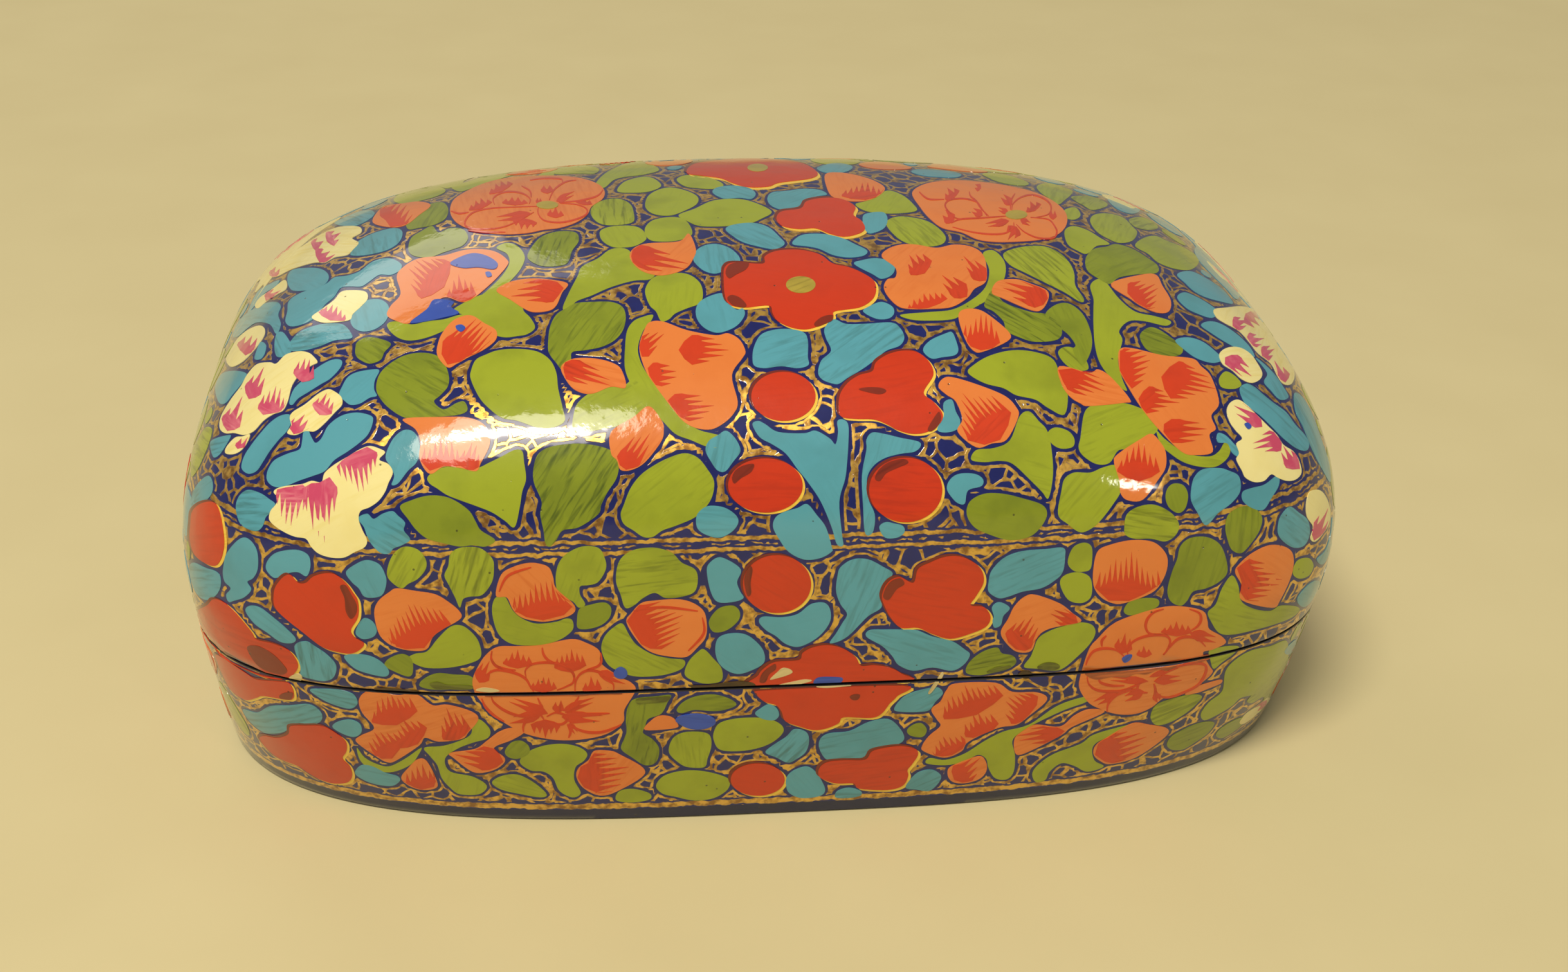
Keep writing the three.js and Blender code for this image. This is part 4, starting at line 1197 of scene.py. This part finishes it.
rng = random.Random(7)
petal_rims = rims_of(ORANGE_PETALS)
round_petals = rounded_petals(petal_rims)
orange = varnished("orange_gouache_under_varnish", ORANGE, ORANGE_STREAK, streak_size=0.006, wear=0.35)
stroke_red = varnished("red_brush_strokes", STROKE_RED, STROKE_RED_STREAK)
paint("orange_petals", petal_rims, PETAL_LIFT, orange)
red_fans = []
for flower, group in RED_FANS.items():
    size = PEONY_FAN if "peony" in flower else PETAL_FAN
    red_fans += [fan(words, round_petals, rng, size) for words in group.split(";")]
paint("red_fans", red_fans, FAN_LIFT, stroke_red, ground=False, smooth=1)
red_lines = []
for flower, group in RED_LINES.items():
    thick = CROWN_LINE if "crown" in flower else WALL_LINE
    red_lines += [brush_line(words, thick) for words in group.split(";")]
paint("red_lines", red_lines, LINE_LIFT, stroke_red, ground=False, smooth=1)

# Cream flowers. Pale yellow petals at both ends of the lid, shaded with crimson strokes.
# The strokes are fanned like the red ones, in a colour that is patchy where the brush ran dry.
CREAM = "E4DA9A"
CREAM_STREAK = "D6C25E"
CRIMSON = "C04468"
CRIMSON_STREAK = "D9808C"
CRIMSON_FAN = 1.1
CREAM_PETALS = {
    "left crest": "415,430 430,412 455,394 480,377 505,362 525,354 545,352 560,354 562,362 548,371 558,378"
        " 550,388 540,397 520,401 505,409 490,409 470,414 450,421 430,431",
    "left crest petal": "397,475 405,463 425,449 442,436 447,442 444,451 430,459 415,469 402,480",
    "left crest bud": "485,494 500,482 520,467 530,455 545,452 568,454 572,465 562,477 549,489 544,498"
        " 520,502 500,502",
    "left small": "352,560 358,546 370,527 385,514 402,507 411,510 412,520 404,534 390,551 375,565 360,571",
    "left side": "342,665 345,646 360,621 375,601 385,583 400,567 420,564 430,566 445,552 465,547 480,549"
        " 489,556 494,564 485,569 470,579 455,599 448,624 440,639 425,645 410,655 395,671 380,677 365,674"
        " 350,674",
    "left side petal": "447,674 453,662 451,650 456,641 475,629 495,613 510,606 520,609 531,618 532,630"
        " 521,642 505,659 490,671 475,671 460,677",
    "left side tip": "351,705 353,695 366,681 378,679 389,676 384,690 374,702 362,707",
    "left low": "505,736 520,723 540,711 560,699 575,694 590,698 599,704 590,715 604,722 611,735 604,752"
        " 599,765 589,779 575,789 561,795 558,808 564,825 571,840 567,851 551,859 535,867 515,867 496,861"
        " 484,850 476,838 460,835 445,829 429,819 419,808 421,795 429,785 433,775 426,766 431,760 445,756"
        " 470,753 485,748 500,750",
    "right crest": "1887,482 1905,479 1930,477 1949,482 1959,493 1974,511 1989,535 2003,556 2012,580"
        " 2008,597 1996,598 1986,585 1976,566 1956,550 1941,531 1926,515 1906,504 1891,494",
    "right small": "1895,553 1902,544 1915,540 1930,542 1944,551 1953,563 1962,580 1958,591 1945,596"
        " 1930,590 1916,577 1901,567",
    "right low": "1907,640 1912,627 1925,622 1940,632 1955,647 1970,662 1985,677 1995,692 2010,702"
        " 2019,716 2023,735 2014,746 2000,748 1986,743 1976,738 1965,748 1950,750 1936,743 1931,733"
        " 1922,715 1926,705 1922,690 1931,682 1921,670 1912,657",
    "right edge": "2032,775 2037,764 2050,762 2060,771 2067,790 2067,810 2058,828 2045,842 2037,838"
        " 2041,820 2032,805 2030,790",
    "right base": "1927,1123 1937,1110 1955,1097 1970,1085 1974,1088 1963,1101 1945,1118 1932,1126",
}
CRIMSON_FANS = {
    "left crest": "425,430>432,418 14; 500,407>515,396 34; 490,385>500,378 26; 512,374>525,366 22;"
        " 418,466>432,456 24; 515,495>520,480 45; 385,548>395,528 34",
    "left side": "392,612>408,578 25; 358,662>372,630 28; 425,645>432,610 45; 472,588>478,562 30",
    "left side petal": "460,672>475,652 36; 500,640>510,618 30; 378,700>384,685 24",
    "left low": "455,757>450,805 48; 497,751>500,825 50; 552,704>560,752 62",
    "right crest": "1940,492>1955,505 22; 1920,506>1935,500 22; 1942,532>1960,528 24; 1965,552>1978,545"
        " 22; 1995,590>1985,570 22; 1912,562>1940,582 26",
    "right low": "1962,654>1925,635 28; 1990,682>1955,692 34; 2016,722>2000,695 32; 2046,832>2060,800 24;"
        " 1965,1092>1950,1105 14",
}
cream_rims = rims_of(CREAM_PETALS)
round_creams = rounded_petals(cream_rims)
cream = varnished("cream_gouache_under_varnish", CREAM, CREAM_STREAK, streak_size=0.006, wear=0.3)
crimson = varnished("crimson_brush_strokes", CRIMSON, CRIMSON_STREAK, streak_size=0.0015, wear=0.6)
paint("cream_petals", cream_rims, PETAL_LIFT, cream)
crimson_fans = []
for group in CRIMSON_FANS.values():
    crimson_fans += [fan(words, round_creams, rng, CRIMSON_FAN) for words in group.split(";")]
paint("crimson_fans", crimson_fans, FAN_LIFT, crimson, ground=False, smooth=1)

# Flower hearts and worn places. Olive dots in the flowers. Chips where the paint has come off down to
# the blue under-paint or to the bare paper, dark smudges, and places along the seam that are rubbed.
HEART_LIFT = 0.00013
SMUDGE_LIFT = 0.00013
CHIP_LIFT = 0.00014
RUBBED_LIFT = 0.00012
RUBBED_STREAK = 0.0012
HEARTS = {
    "five petals": (1245, 444, 23, 13),
    "crown flower": (1178, 262, 16, 6),
    "left crown peony": (851, 320, 17, 6),
    "right crown peony": (1580, 335, 17, 7),
}
BLUE_CHIPS = {
    "left crest flower, top": "700,411 718,400 738,395 759,400 774,411 768,420 744,417 720,418",
    "left crest flower, foot": "638,503 664,482 676,467 705,470 702,479 714,488 690,495 667,500",
    "left crest flower, speck": "755,425 762,424 765,430 758,432",
    "bud speck": "709,508 718,506 724,511 718,517 711,514",
    "seam chip": "1265,1062 1272,1053 1295,1052 1310,1054 1305,1062 1285,1065",
    "base stem": "1050,1120 1062,1112 1085,1110 1108,1115 1112,1125 1095,1133 1070,1132",
    "blue dot": "954,1047 958,1040 966,1037 974,1042 975,1050 968,1055 958,1053",
    "seam speck": "1744,1024 1752,1018 1760,1018 1756,1026 1748,1030",
    "bud eye": "1934,660 1940,658 1945,664 1940,668",
}
BARE_CHIPS = {
    "seam flower chip": "1197,1056 1208,1045 1217,1038 1228,1040 1232,1045 1222,1050 1208,1054",
    "seam scrape 1": "1205,1066 1225,1061 1250,1056 1262,1058 1240,1064 1215,1068",
    "seam scrape 2": "740,1073 750,1069 765,1070 777,1074 760,1076",
    "seam corner chip": "450,1053 462,1047 470,1051 468,1058 455,1059",
    "seam scrape 3": "1268,1067 1290,1064 1330,1062 1350,1060 1352,1063 1320,1066 1285,1069",
    "scratch over the seam": "1443,1077 1449,1067 1456,1057 1464,1046 1467,1048 1460,1060 1453,1070"
        " 1446,1078",
}
DARK_SMUDGES = {
    "seam flower smudge": "1321,1083 1328,1079 1337,1080 1334,1087 1326,1088",
    "shoulder trefoil smudge": "1335,606 1350,603 1370,604 1378,609 1368,614 1350,611",
    "shoulder trefoil, right lobe": "1442,668 1452,650 1460,641 1463,652 1457,664 1448,671",
    "five petals, left top": "1128,426 1133,414 1147,409 1164,410 1160,420 1145,428 1134,434",
    "five petals, left foot": "1131,464 1138,460 1150,464 1160,474 1158,479 1142,477 1133,470",
    "five petals, foot": "1266,504 1278,494 1294,491 1294,499 1284,504 1270,509",
    "dot left of the stem": "1138,744 1143,732 1156,724 1172,722 1168,734 1152,744 1142,752",
    "dot right of the stem": "1360,744 1367,730 1382,719 1404,714 1412,720 1395,728 1378,736 1368,748",
    "left wall, right lobe": "529,912 538,910 547,925 555,940 554,954 546,962 538,950 536,930",
    "dot on the wall": "1157,905 1159,892 1166,880 1170,886 1167,905 1168,922 1162,926",
    "wall trefoil, left lobe": "1373,928 1377,914 1386,903 1400,899 1406,908 1394,916 1382,932",
    "seam flower, left top": "1181,1060 1184,1048 1193,1039 1205,1032 1206,1040 1196,1048 1190,1060",
    "left end, upper lobe": "385,1006 402,1004 423,1015 438,1029 447,1042 441,1048 427,1046 410,1040"
        " 396,1028",
    "left end, lower lobe": "436,1080 446,1076 456,1077 453,1087 444,1087 436,1085",
}
RUBBED_PETALS = {
    "right peony under the seam": "1684,1043 1708,1041 1742,1038 1782,1034 1830,1027 1877,1018 1880,1024"
        " 1858,1031 1832,1036 1815,1042 1800,1041 1782,1048 1766,1047 1750,1053 1730,1052 1708,1056"
        " 1694,1053",
    "left peony under the seam": "742,1077 780,1077 830,1077 880,1076 930,1075 968,1074 966,1079 930,1079"
        " 900,1082 870,1080 830,1082 790,1081 756,1083",
}
RUBBED_LEAVES = {
    "seam leaf 1, foot": "668,1063 680,1060 694,1064 715,1065 733,1066 734,1071 715,1072 694,1071 676,1070",
    "base leaf 6, top": "989,1088 1003,1085 1020,1084 1041,1083 1036,1090 1022,1092 1004,1093 991,1094",
    "seam leaf 2, foot": "1534,1045 1546,1038 1560,1035 1572,1035 1565,1040 1548,1044",
    "right wall leaf 3, foot": "1613,1039 1616,1034 1627,1030 1641,1031 1648,1036 1641,1041 1626,1041",
}
RUBBED_GROUND = {
    "seam, middle": "1072,1066 1100,1065 1128,1061 1150,1059 1170,1061 1172,1068 1130,1070 1090,1072",
    "seam, right": "1583,1048 1591,1043 1601,1044 1605,1050 1597,1055 1587,1053",
    "seam, left": "584,1070 610,1070 640,1073 653,1076 648,1079 612,1077 586,1075",
}
heart_rims = [oval(*heart) for heart in HEARTS.values()]
paint("flower_hearts", heart_rims, HEART_LIFT, varnished("heart_gouache", "A8973A", "6E6422"), ground=False)
for name, places, lift, finish in (
    ("blue_chips", BLUE_CHIPS, CHIP_LIFT, varnished("blue_under_paint", "2F4FAE", "22398C")),
    ("bare_chips", BARE_CHIPS, CHIP_LIFT, varnished("bare_pasted_paper", "CDBB86", "9C8A56")),
    ("dark_smudges", DARK_SMUDGES, SMUDGE_LIFT, varnished("dark_smudge", "7A2512", "54180E")),
):
    paint(name, rims_of(places), lift, finish, ground=False, copy=False)
for name, places, colour, streak in (
    ("rubbed_petals", RUBBED_PETALS, "8A4426", "B9602F"),
    ("rubbed_leaves", RUBBED_LEAVES, "4C4F18", "6E7820"),
    ("rubbed_ground", RUBBED_GROUND, "33240F", "6B4A1C"),
):
    rubbed = varnished(name, colour, streak, RUBBED_STREAK, wear=0.6)
    paint(name, rims_of(places), RUBBED_LIFT, rubbed, ground=False, copy=False)

# Filling leaves. Small olive and teal leaves fill the places that the photograph doesn't show, at the
# ends and the back, until the gaps there are as narrow as on the front.
WIDEST_GAP = 0.0015
LEAF_MARGIN = 0.00045
LARGEST_LEAF = 0.0042
FOOT_MARGIN = 0.0042
FOOT_LINE_TOP = 0.003
SEAM_STRIP = 0.001
COVER_MARGIN = 0.0004
LEAF_POINTS = 22
LEAF_MEAN = 0.84
LEAF_OVAL = 0.16
LEAF_UNEVEN = 0.02
LEAF_AXIS = (0.2, 0.1, 0.95)
FILLING_SIGHT = 0.20
TEAL_SHARE = 0.42
OLIVE_FILLING_LIFT = 0.000042
TEAL_FILLING_LIFT = 0.000052


def edges_tree():
    """Tree of the points along all rims so far, for the distance to the nearest one."""
    tree = KDTree(len(edge_points))
    for i, p in enumerate(edge_points):
        tree.insert(p, i)
    tree.balance()
    return tree


edges_near = edges_tree()
covered = BVHTree.FromPolygons(ground_points, ground_faces)
open_places = []
open_gaps = []
for x, y, z in body_points[::3]:
    if z < FOOT_MARGIN or abs(z - SEAM_LEVEL) < SEAM_STRIP:
        continue
    p = Vector((x, y, z))
    gap_here = min(edges_near.find(p)[2], abs(z - SEAM_LEVEL), z - FOOT_LINE_TOP)
    if gap_here > WIDEST_GAP and unseen(p, FILLING_SIGHT) and covered.find_nearest(p)[3] > COVER_MARGIN:
        open_places.append((x, y, z))
        open_gaps.append(gap_here)
open_places = np.array(open_places)
open_gaps = np.array(open_gaps)
filling = {"olive": [], "teal": []}
while len(open_gaps) and open_gaps.max() > WIDEST_GAP:
    widest = int(open_gaps.argmax())
    centre = Vector(open_places[widest])
    reach = min(open_gaps[widest] - LEAF_MARGIN, LARGEST_LEAF)
    outward = surface.find_nearest(centre)[1]
    across = outward.cross(Vector(LEAF_AXIS)).normalized()
    along = outward.cross(across)
    lean = rng.uniform(0, math.pi)
    leaf_rim = []
    for i in range(LEAF_POINTS):
        turn = 2 * math.pi * i / LEAF_POINTS
        uneven = rng.uniform(-LEAF_UNEVEN, LEAF_UNEVEN)
        wide = reach * (LEAF_MEAN + LEAF_OVAL * math.cos(2 * (turn - lean)) + uneven)
        start = centre + (across * math.cos(turn) + along * math.sin(turn)) * wide
        leaf_rim.append(surface.find_nearest(start)[0])
    filling["teal" if rng.random() < TEAL_SHARE else "olive"].append(leaf_rim)
    open_gaps = np.minimum(open_gaps, np.linalg.norm(open_places - np.array(centre), axis=1) - reach)
for colour, material, lift in (("olive", olive, OLIVE_FILLING_LIFT), ("teal", teal, TEAL_FILLING_LIFT)):
    films = empty_films()
    for leaf_rim in filling[colour]:
        lay(films, leaf_rim, lift)
        mark_edge(leaf_rim)
    make_films(colour + "_filling_leaves", films, material, True)

# Gold line work. The navy ground that is left between the motifs is outlined in gold paint, and the
# wider gaps are filled with small gold scribbles. Two gold lines run round the lid where the wall
# ends, and one round the foot.
NAVY = "0D1450"
NAVY_CLOUD = "16206A"
GOLD = "DFB353"
GOLD_SHADE = "8C622A"
BORDER_PIXEL = (1000, 842)
BORDER_LEVEL = seen_at(*BORDER_PIXEL).z
BORDER_STEP = 0.0014
BORDER_HALF_MM = 0.22
FOOT_LINE_LEVEL = 0.0026
FOOT_LINE_HALF_MM = 0.42
WANDER_SIZE = 0.0015
BEND_SIZE = 0.0022
BEND_REACH = 0.0012
SCRIBBLE_SIZE = 0.0024
TARNISH_SIZE = 0.0010
UNDER_FILM = 0.00025
NOISE_MIDDLE = 0.5
WANDER_MM = 0.35
LINE_STARTS_MM = (0.55, 0.60)
LINE_ENDS_MM = (0.92, 0.98)
SCRIBBLE_RIM = (0.085, 0.060)
BORDER_SOFT_MM = 0.06
CLEAR_STARTS_MM = 0.34
CLEAR_ENDS_MM = 0.40
GOLD_LEFT = (0.36, 0.58)
GOLD_METALLIC = 0.75
GOLD_RELIEF = 0.20
edges_near = edges_tree()
covered = BVHTree.FromPolygons(ground_points, ground_faces)
for piece in (lid_shell, base_shell):
    gaps = []
    for v in piece.data.vertices:
        under = covered.find_nearest(v.co, UNDER_FILM)[0] is not None
        gaps.append(edges_near.find(v.co)[2] * (-1000 if under else 1000))
    gap = piece.data.attributes.new("gap", "FLOAT", "POINT")
    gap.data.foreach_set("value", gaps)
ground = empty_material("navy_lacquer_with_gold_line_work")
coordinates = add(ground, "TexCoord")
place = {"Vector": (coordinates, "Object")}
axes = add(ground, "SeparateXYZ", {}, place)
gap = add(ground, "Attribute", {"attribute_name": "gap"})
unsteady = add(ground, "TexNoise", {"Scale": 1 / WANDER_SIZE, "Detail": 2.0}, place)
wander = add(ground, "Math", {"operation": "MULTIPLY_ADD", 1: WANDER_MM}, {0: unsteady, 2: (gap, "Fac")})
# One gold line goes round each motif, a thin strip of navy away from it. Scribbles start beyond it.
near_line = ramp(ground, *LINE_STARTS_MM, wander)
far_line = ramp(ground, *LINE_ENDS_MM[::-1], wander)
inner = ramp(ground, *LINE_ENDS_MM, wander)
line = add(ground, "Math", {"operation": "MULTIPLY"}, {0: near_line, 1: far_line})
bend = add(ground, "TexNoise", {"Scale": 1 / BEND_SIZE, "Detail": 1.0}, place)
bent = add(
    ground, "VectorMath", {"operation": "MULTIPLY_ADD", 1: (BEND_REACH, BEND_REACH, BEND_REACH)},
    {0: (bend, "Color"), 2: (coordinates, "Object")},
)
cells = add(
    ground, "TexVoronoi", {"feature": "DISTANCE_TO_EDGE", "Scale": 1 / SCRIBBLE_SIZE},
    {"Vector": bent},
)
scribble = ramp(ground, *SCRIBBLE_RIM, cells)
scribbles = add(ground, "Math", {"operation": "MULTIPLY"}, {0: scribble, 1: inner})
drawn = add(ground, "Math", {"operation": "MAXIMUM"}, {0: line, 1: scribbles})
level_mm = add(ground, "Math", {"operation": "MULTIPLY_ADD", 1: 1000.0}, {0: (axes, "Z"), 2: unsteady})
# The lines that run round the box have a clear navy strip on both sides.
gilt = drawn
for level, half in (
    (BORDER_LEVEL, BORDER_HALF_MM),
    (BORDER_LEVEL - BORDER_STEP, BORDER_HALF_MM),
    (FOOT_LINE_LEVEL, FOOT_LINE_HALF_MM),
):
    off = add(ground, "Math", {"operation": "SUBTRACT", 1: level * 1000 + NOISE_MIDDLE}, {0: level_mm})
    away = add(ground, "Math", {"operation": "ABSOLUTE"}, {0: off})
    clear = ramp(ground, half + CLEAR_STARTS_MM, half + CLEAR_ENDS_MM, away)
    on = ramp(ground, half + BORDER_SOFT_MM, half, away)
    kept = add(ground, "Math", {"operation": "MULTIPLY"}, {0: gilt, 1: clear})
    gilt = add(ground, "Math", {"operation": "MAXIMUM"}, {0: kept, 1: on})
# The gold is brown where it is worn thin, and the navy is a little cloudy.
tarnish = add(ground, "TexNoise", {"Scale": 1 / TARNISH_SIZE, "Detail": 4.0}, place)
gold_left = ramp(ground, *GOLD_LEFT, tarnish)
gold_tone = add(ground, "Mix", {"data_type": "RGBA", 6: linear(GOLD_SHADE), 7: linear(GOLD)}, {0: gold_left})
navy_tone = add(ground, "Mix", {"data_type": "RGBA", 6: linear(NAVY), 7: linear(NAVY_CLOUD)}, {0: unsteady})
colours = add(ground, "Mix", {"data_type": "RGBA"}, {0: gilt, 6: (navy_tone, 2), 7: (gold_tone, 2)})
shine = add(ground, "Math", {"operation": "MULTIPLY", 1: GOLD_METALLIC}, {0: gilt})
ground_ripple = add(ground, "TexNoise", {"Scale": 1 / RIPPLE, "Detail": 2.0}, place)
raised = add(ground, "Math", {"operation": "MULTIPLY_ADD", 1: GOLD_RELIEF}, {0: gilt, 2: ground_ripple})
ground_bump = add(ground, "Bump", VARNISH_RELIEF, {"Height": raised})
ground_paint = add(
    ground, "BsdfPrincipled", {"Roughness": 0.34, **VARNISH_COAT},
    {"Base Color": (colours, 2), "Metallic": shine,
     "Normal": ground_bump, "Coat Normal": ground_bump},
)
add(ground, "OutputMaterial", {}, {"Surface": ground_paint})
dark_paint = varnished("dark_painted_board", "1D1C26", "2B2A33")
for piece, first_row, last_row in (
    (lid_shell, len(lid_inside) + len(lid_lip) - 1, len(lid_inside + lid_lip + lid_outside)),
    (base_shell, 0, len(base_outside) - 1),
):
    piece.data.materials.append(ground)
    piece.data.materials.append(dark_paint)
    rows = np.arange(len(piece.data.polygons)) // COLUMNS
    inside = (rows < first_row) | (rows >= last_row)
    piece.data.polygons.foreach_set("material_index", inside.astype(np.int32))
floor_board.data.materials.append(varnished("plain_navy_lacquer", "10173F", "0B1030"))
rim_collar.data.materials.append(dark_paint)

# Floor, light and world. A plain pale table in soft daylight from the front left, with two small
# lamps where the varnish mirrors them to the camera, and a weak one behind for the far floor.
TABLE_HALF = 12
TABLE_MOTTLE = 0.03
BOX_HEART = (0, 0, 0.03)
KEY_GLINT = (795, 672)
KEY_AWAY = 0.75
FILL_GLINT = (1762, 752)
FILL_AWAY = 0.80
BACK_LAMP = (-0.42, 0.95, 0.75)
FAR_FLOOR = (0, 0.25, 0)
DAYLIGHT_POWER = 1.45
DAYLIGHT_SPREAD = math.radians(25)
WORLD_POWER = 0.29
floor_mesh = bpy.data.meshes.new("floor")
floor_corners = [(x * TABLE_HALF, y * TABLE_HALF, 0) for x, y in ((-1, -1), (1, -1), (1, 1), (-1, 1))]
floor_mesh.from_pydata(floor_corners, [], [(0, 1, 2, 3)])
floor = bpy.data.objects.new("floor", floor_mesh)
bpy.context.collection.objects.link(floor)
table = empty_material("pale_table")
table_place = {"Vector": (add(table, "TexCoord"), "Object")}
mottle = add(table, "TexNoise", {"Scale": 1 / TABLE_MOTTLE, "Detail": 3.0}, table_place)
pale = add(table, "Mix", {"data_type": "RGBA", 6: linear("C9BE94"), 7: linear("D0C69C")}, {0: mottle})
matt = add(table, "BsdfPrincipled", {"Roughness": 0.9, "Specular IOR Level": 0.2}, {"Base Color": (pale, 2)})
add(table, "OutputMaterial", {}, {"Surface": matt})
floor_mesh.materials.append(table)


def lamp(name, at, aim, size, power, tint):
    light = bpy.data.lights.new(name, "AREA")
    light.shape = "RECTANGLE"
    light.size, light.size_y = size
    light.energy = power
    light.color = linear(tint)[:3]
    stand = bpy.data.objects.new(name, light)
    stand.location = at
    stand.rotation_euler = (Vector(aim) - Vector(at)).to_track_quat("-Z", "Y").to_euler()
    bpy.context.collection.objects.link(stand)


def mirrored_at(x, y, away):
    """Place from which a lamp is mirrored to the camera at a pixel of the box."""
    spot = seen_at(x, y)
    outward = surface.find_nearest(spot)[1]
    sight = (spot - eye).normalized()
    return spot + (sight - 2 * sight.dot(outward) * outward) * away


key_place = mirrored_at(*KEY_GLINT, KEY_AWAY)
fill_place = mirrored_at(*FILL_GLINT, FILL_AWAY)
lamp("key", key_place, aim=BOX_HEART, size=(0.24, 0.06), power=3.2, tint="FFF4E0")
lamp("fill", fill_place, aim=BOX_HEART, size=(0.07, 0.05), power=0.4, tint="FFF6E6")
lamp("back", BACK_LAMP, aim=FAR_FLOOR, size=(0.6, 0.5), power=1.6, tint="FFF6E6")
daylight = bpy.data.lights.new("daylight", "SUN")
daylight.energy = DAYLIGHT_POWER
daylight.angle = DAYLIGHT_SPREAD
daylight.color = linear("FFF4E0")[:3]
sky = bpy.data.objects.new("daylight", daylight)
sky.rotation_euler = key_place.to_track_quat("Z", "Y").to_euler()
bpy.context.collection.objects.link(sky)
world = bpy.data.worlds.new("studio")
world.use_nodes = True
world.node_tree.nodes["Background"].inputs["Color"].default_value = linear("F5EFE0")
world.node_tree.nodes["Background"].inputs["Strength"].default_value = WORLD_POWER
bpy.context.scene.world = world
bpy.context.scene.view_settings.view_transform = "Standard"
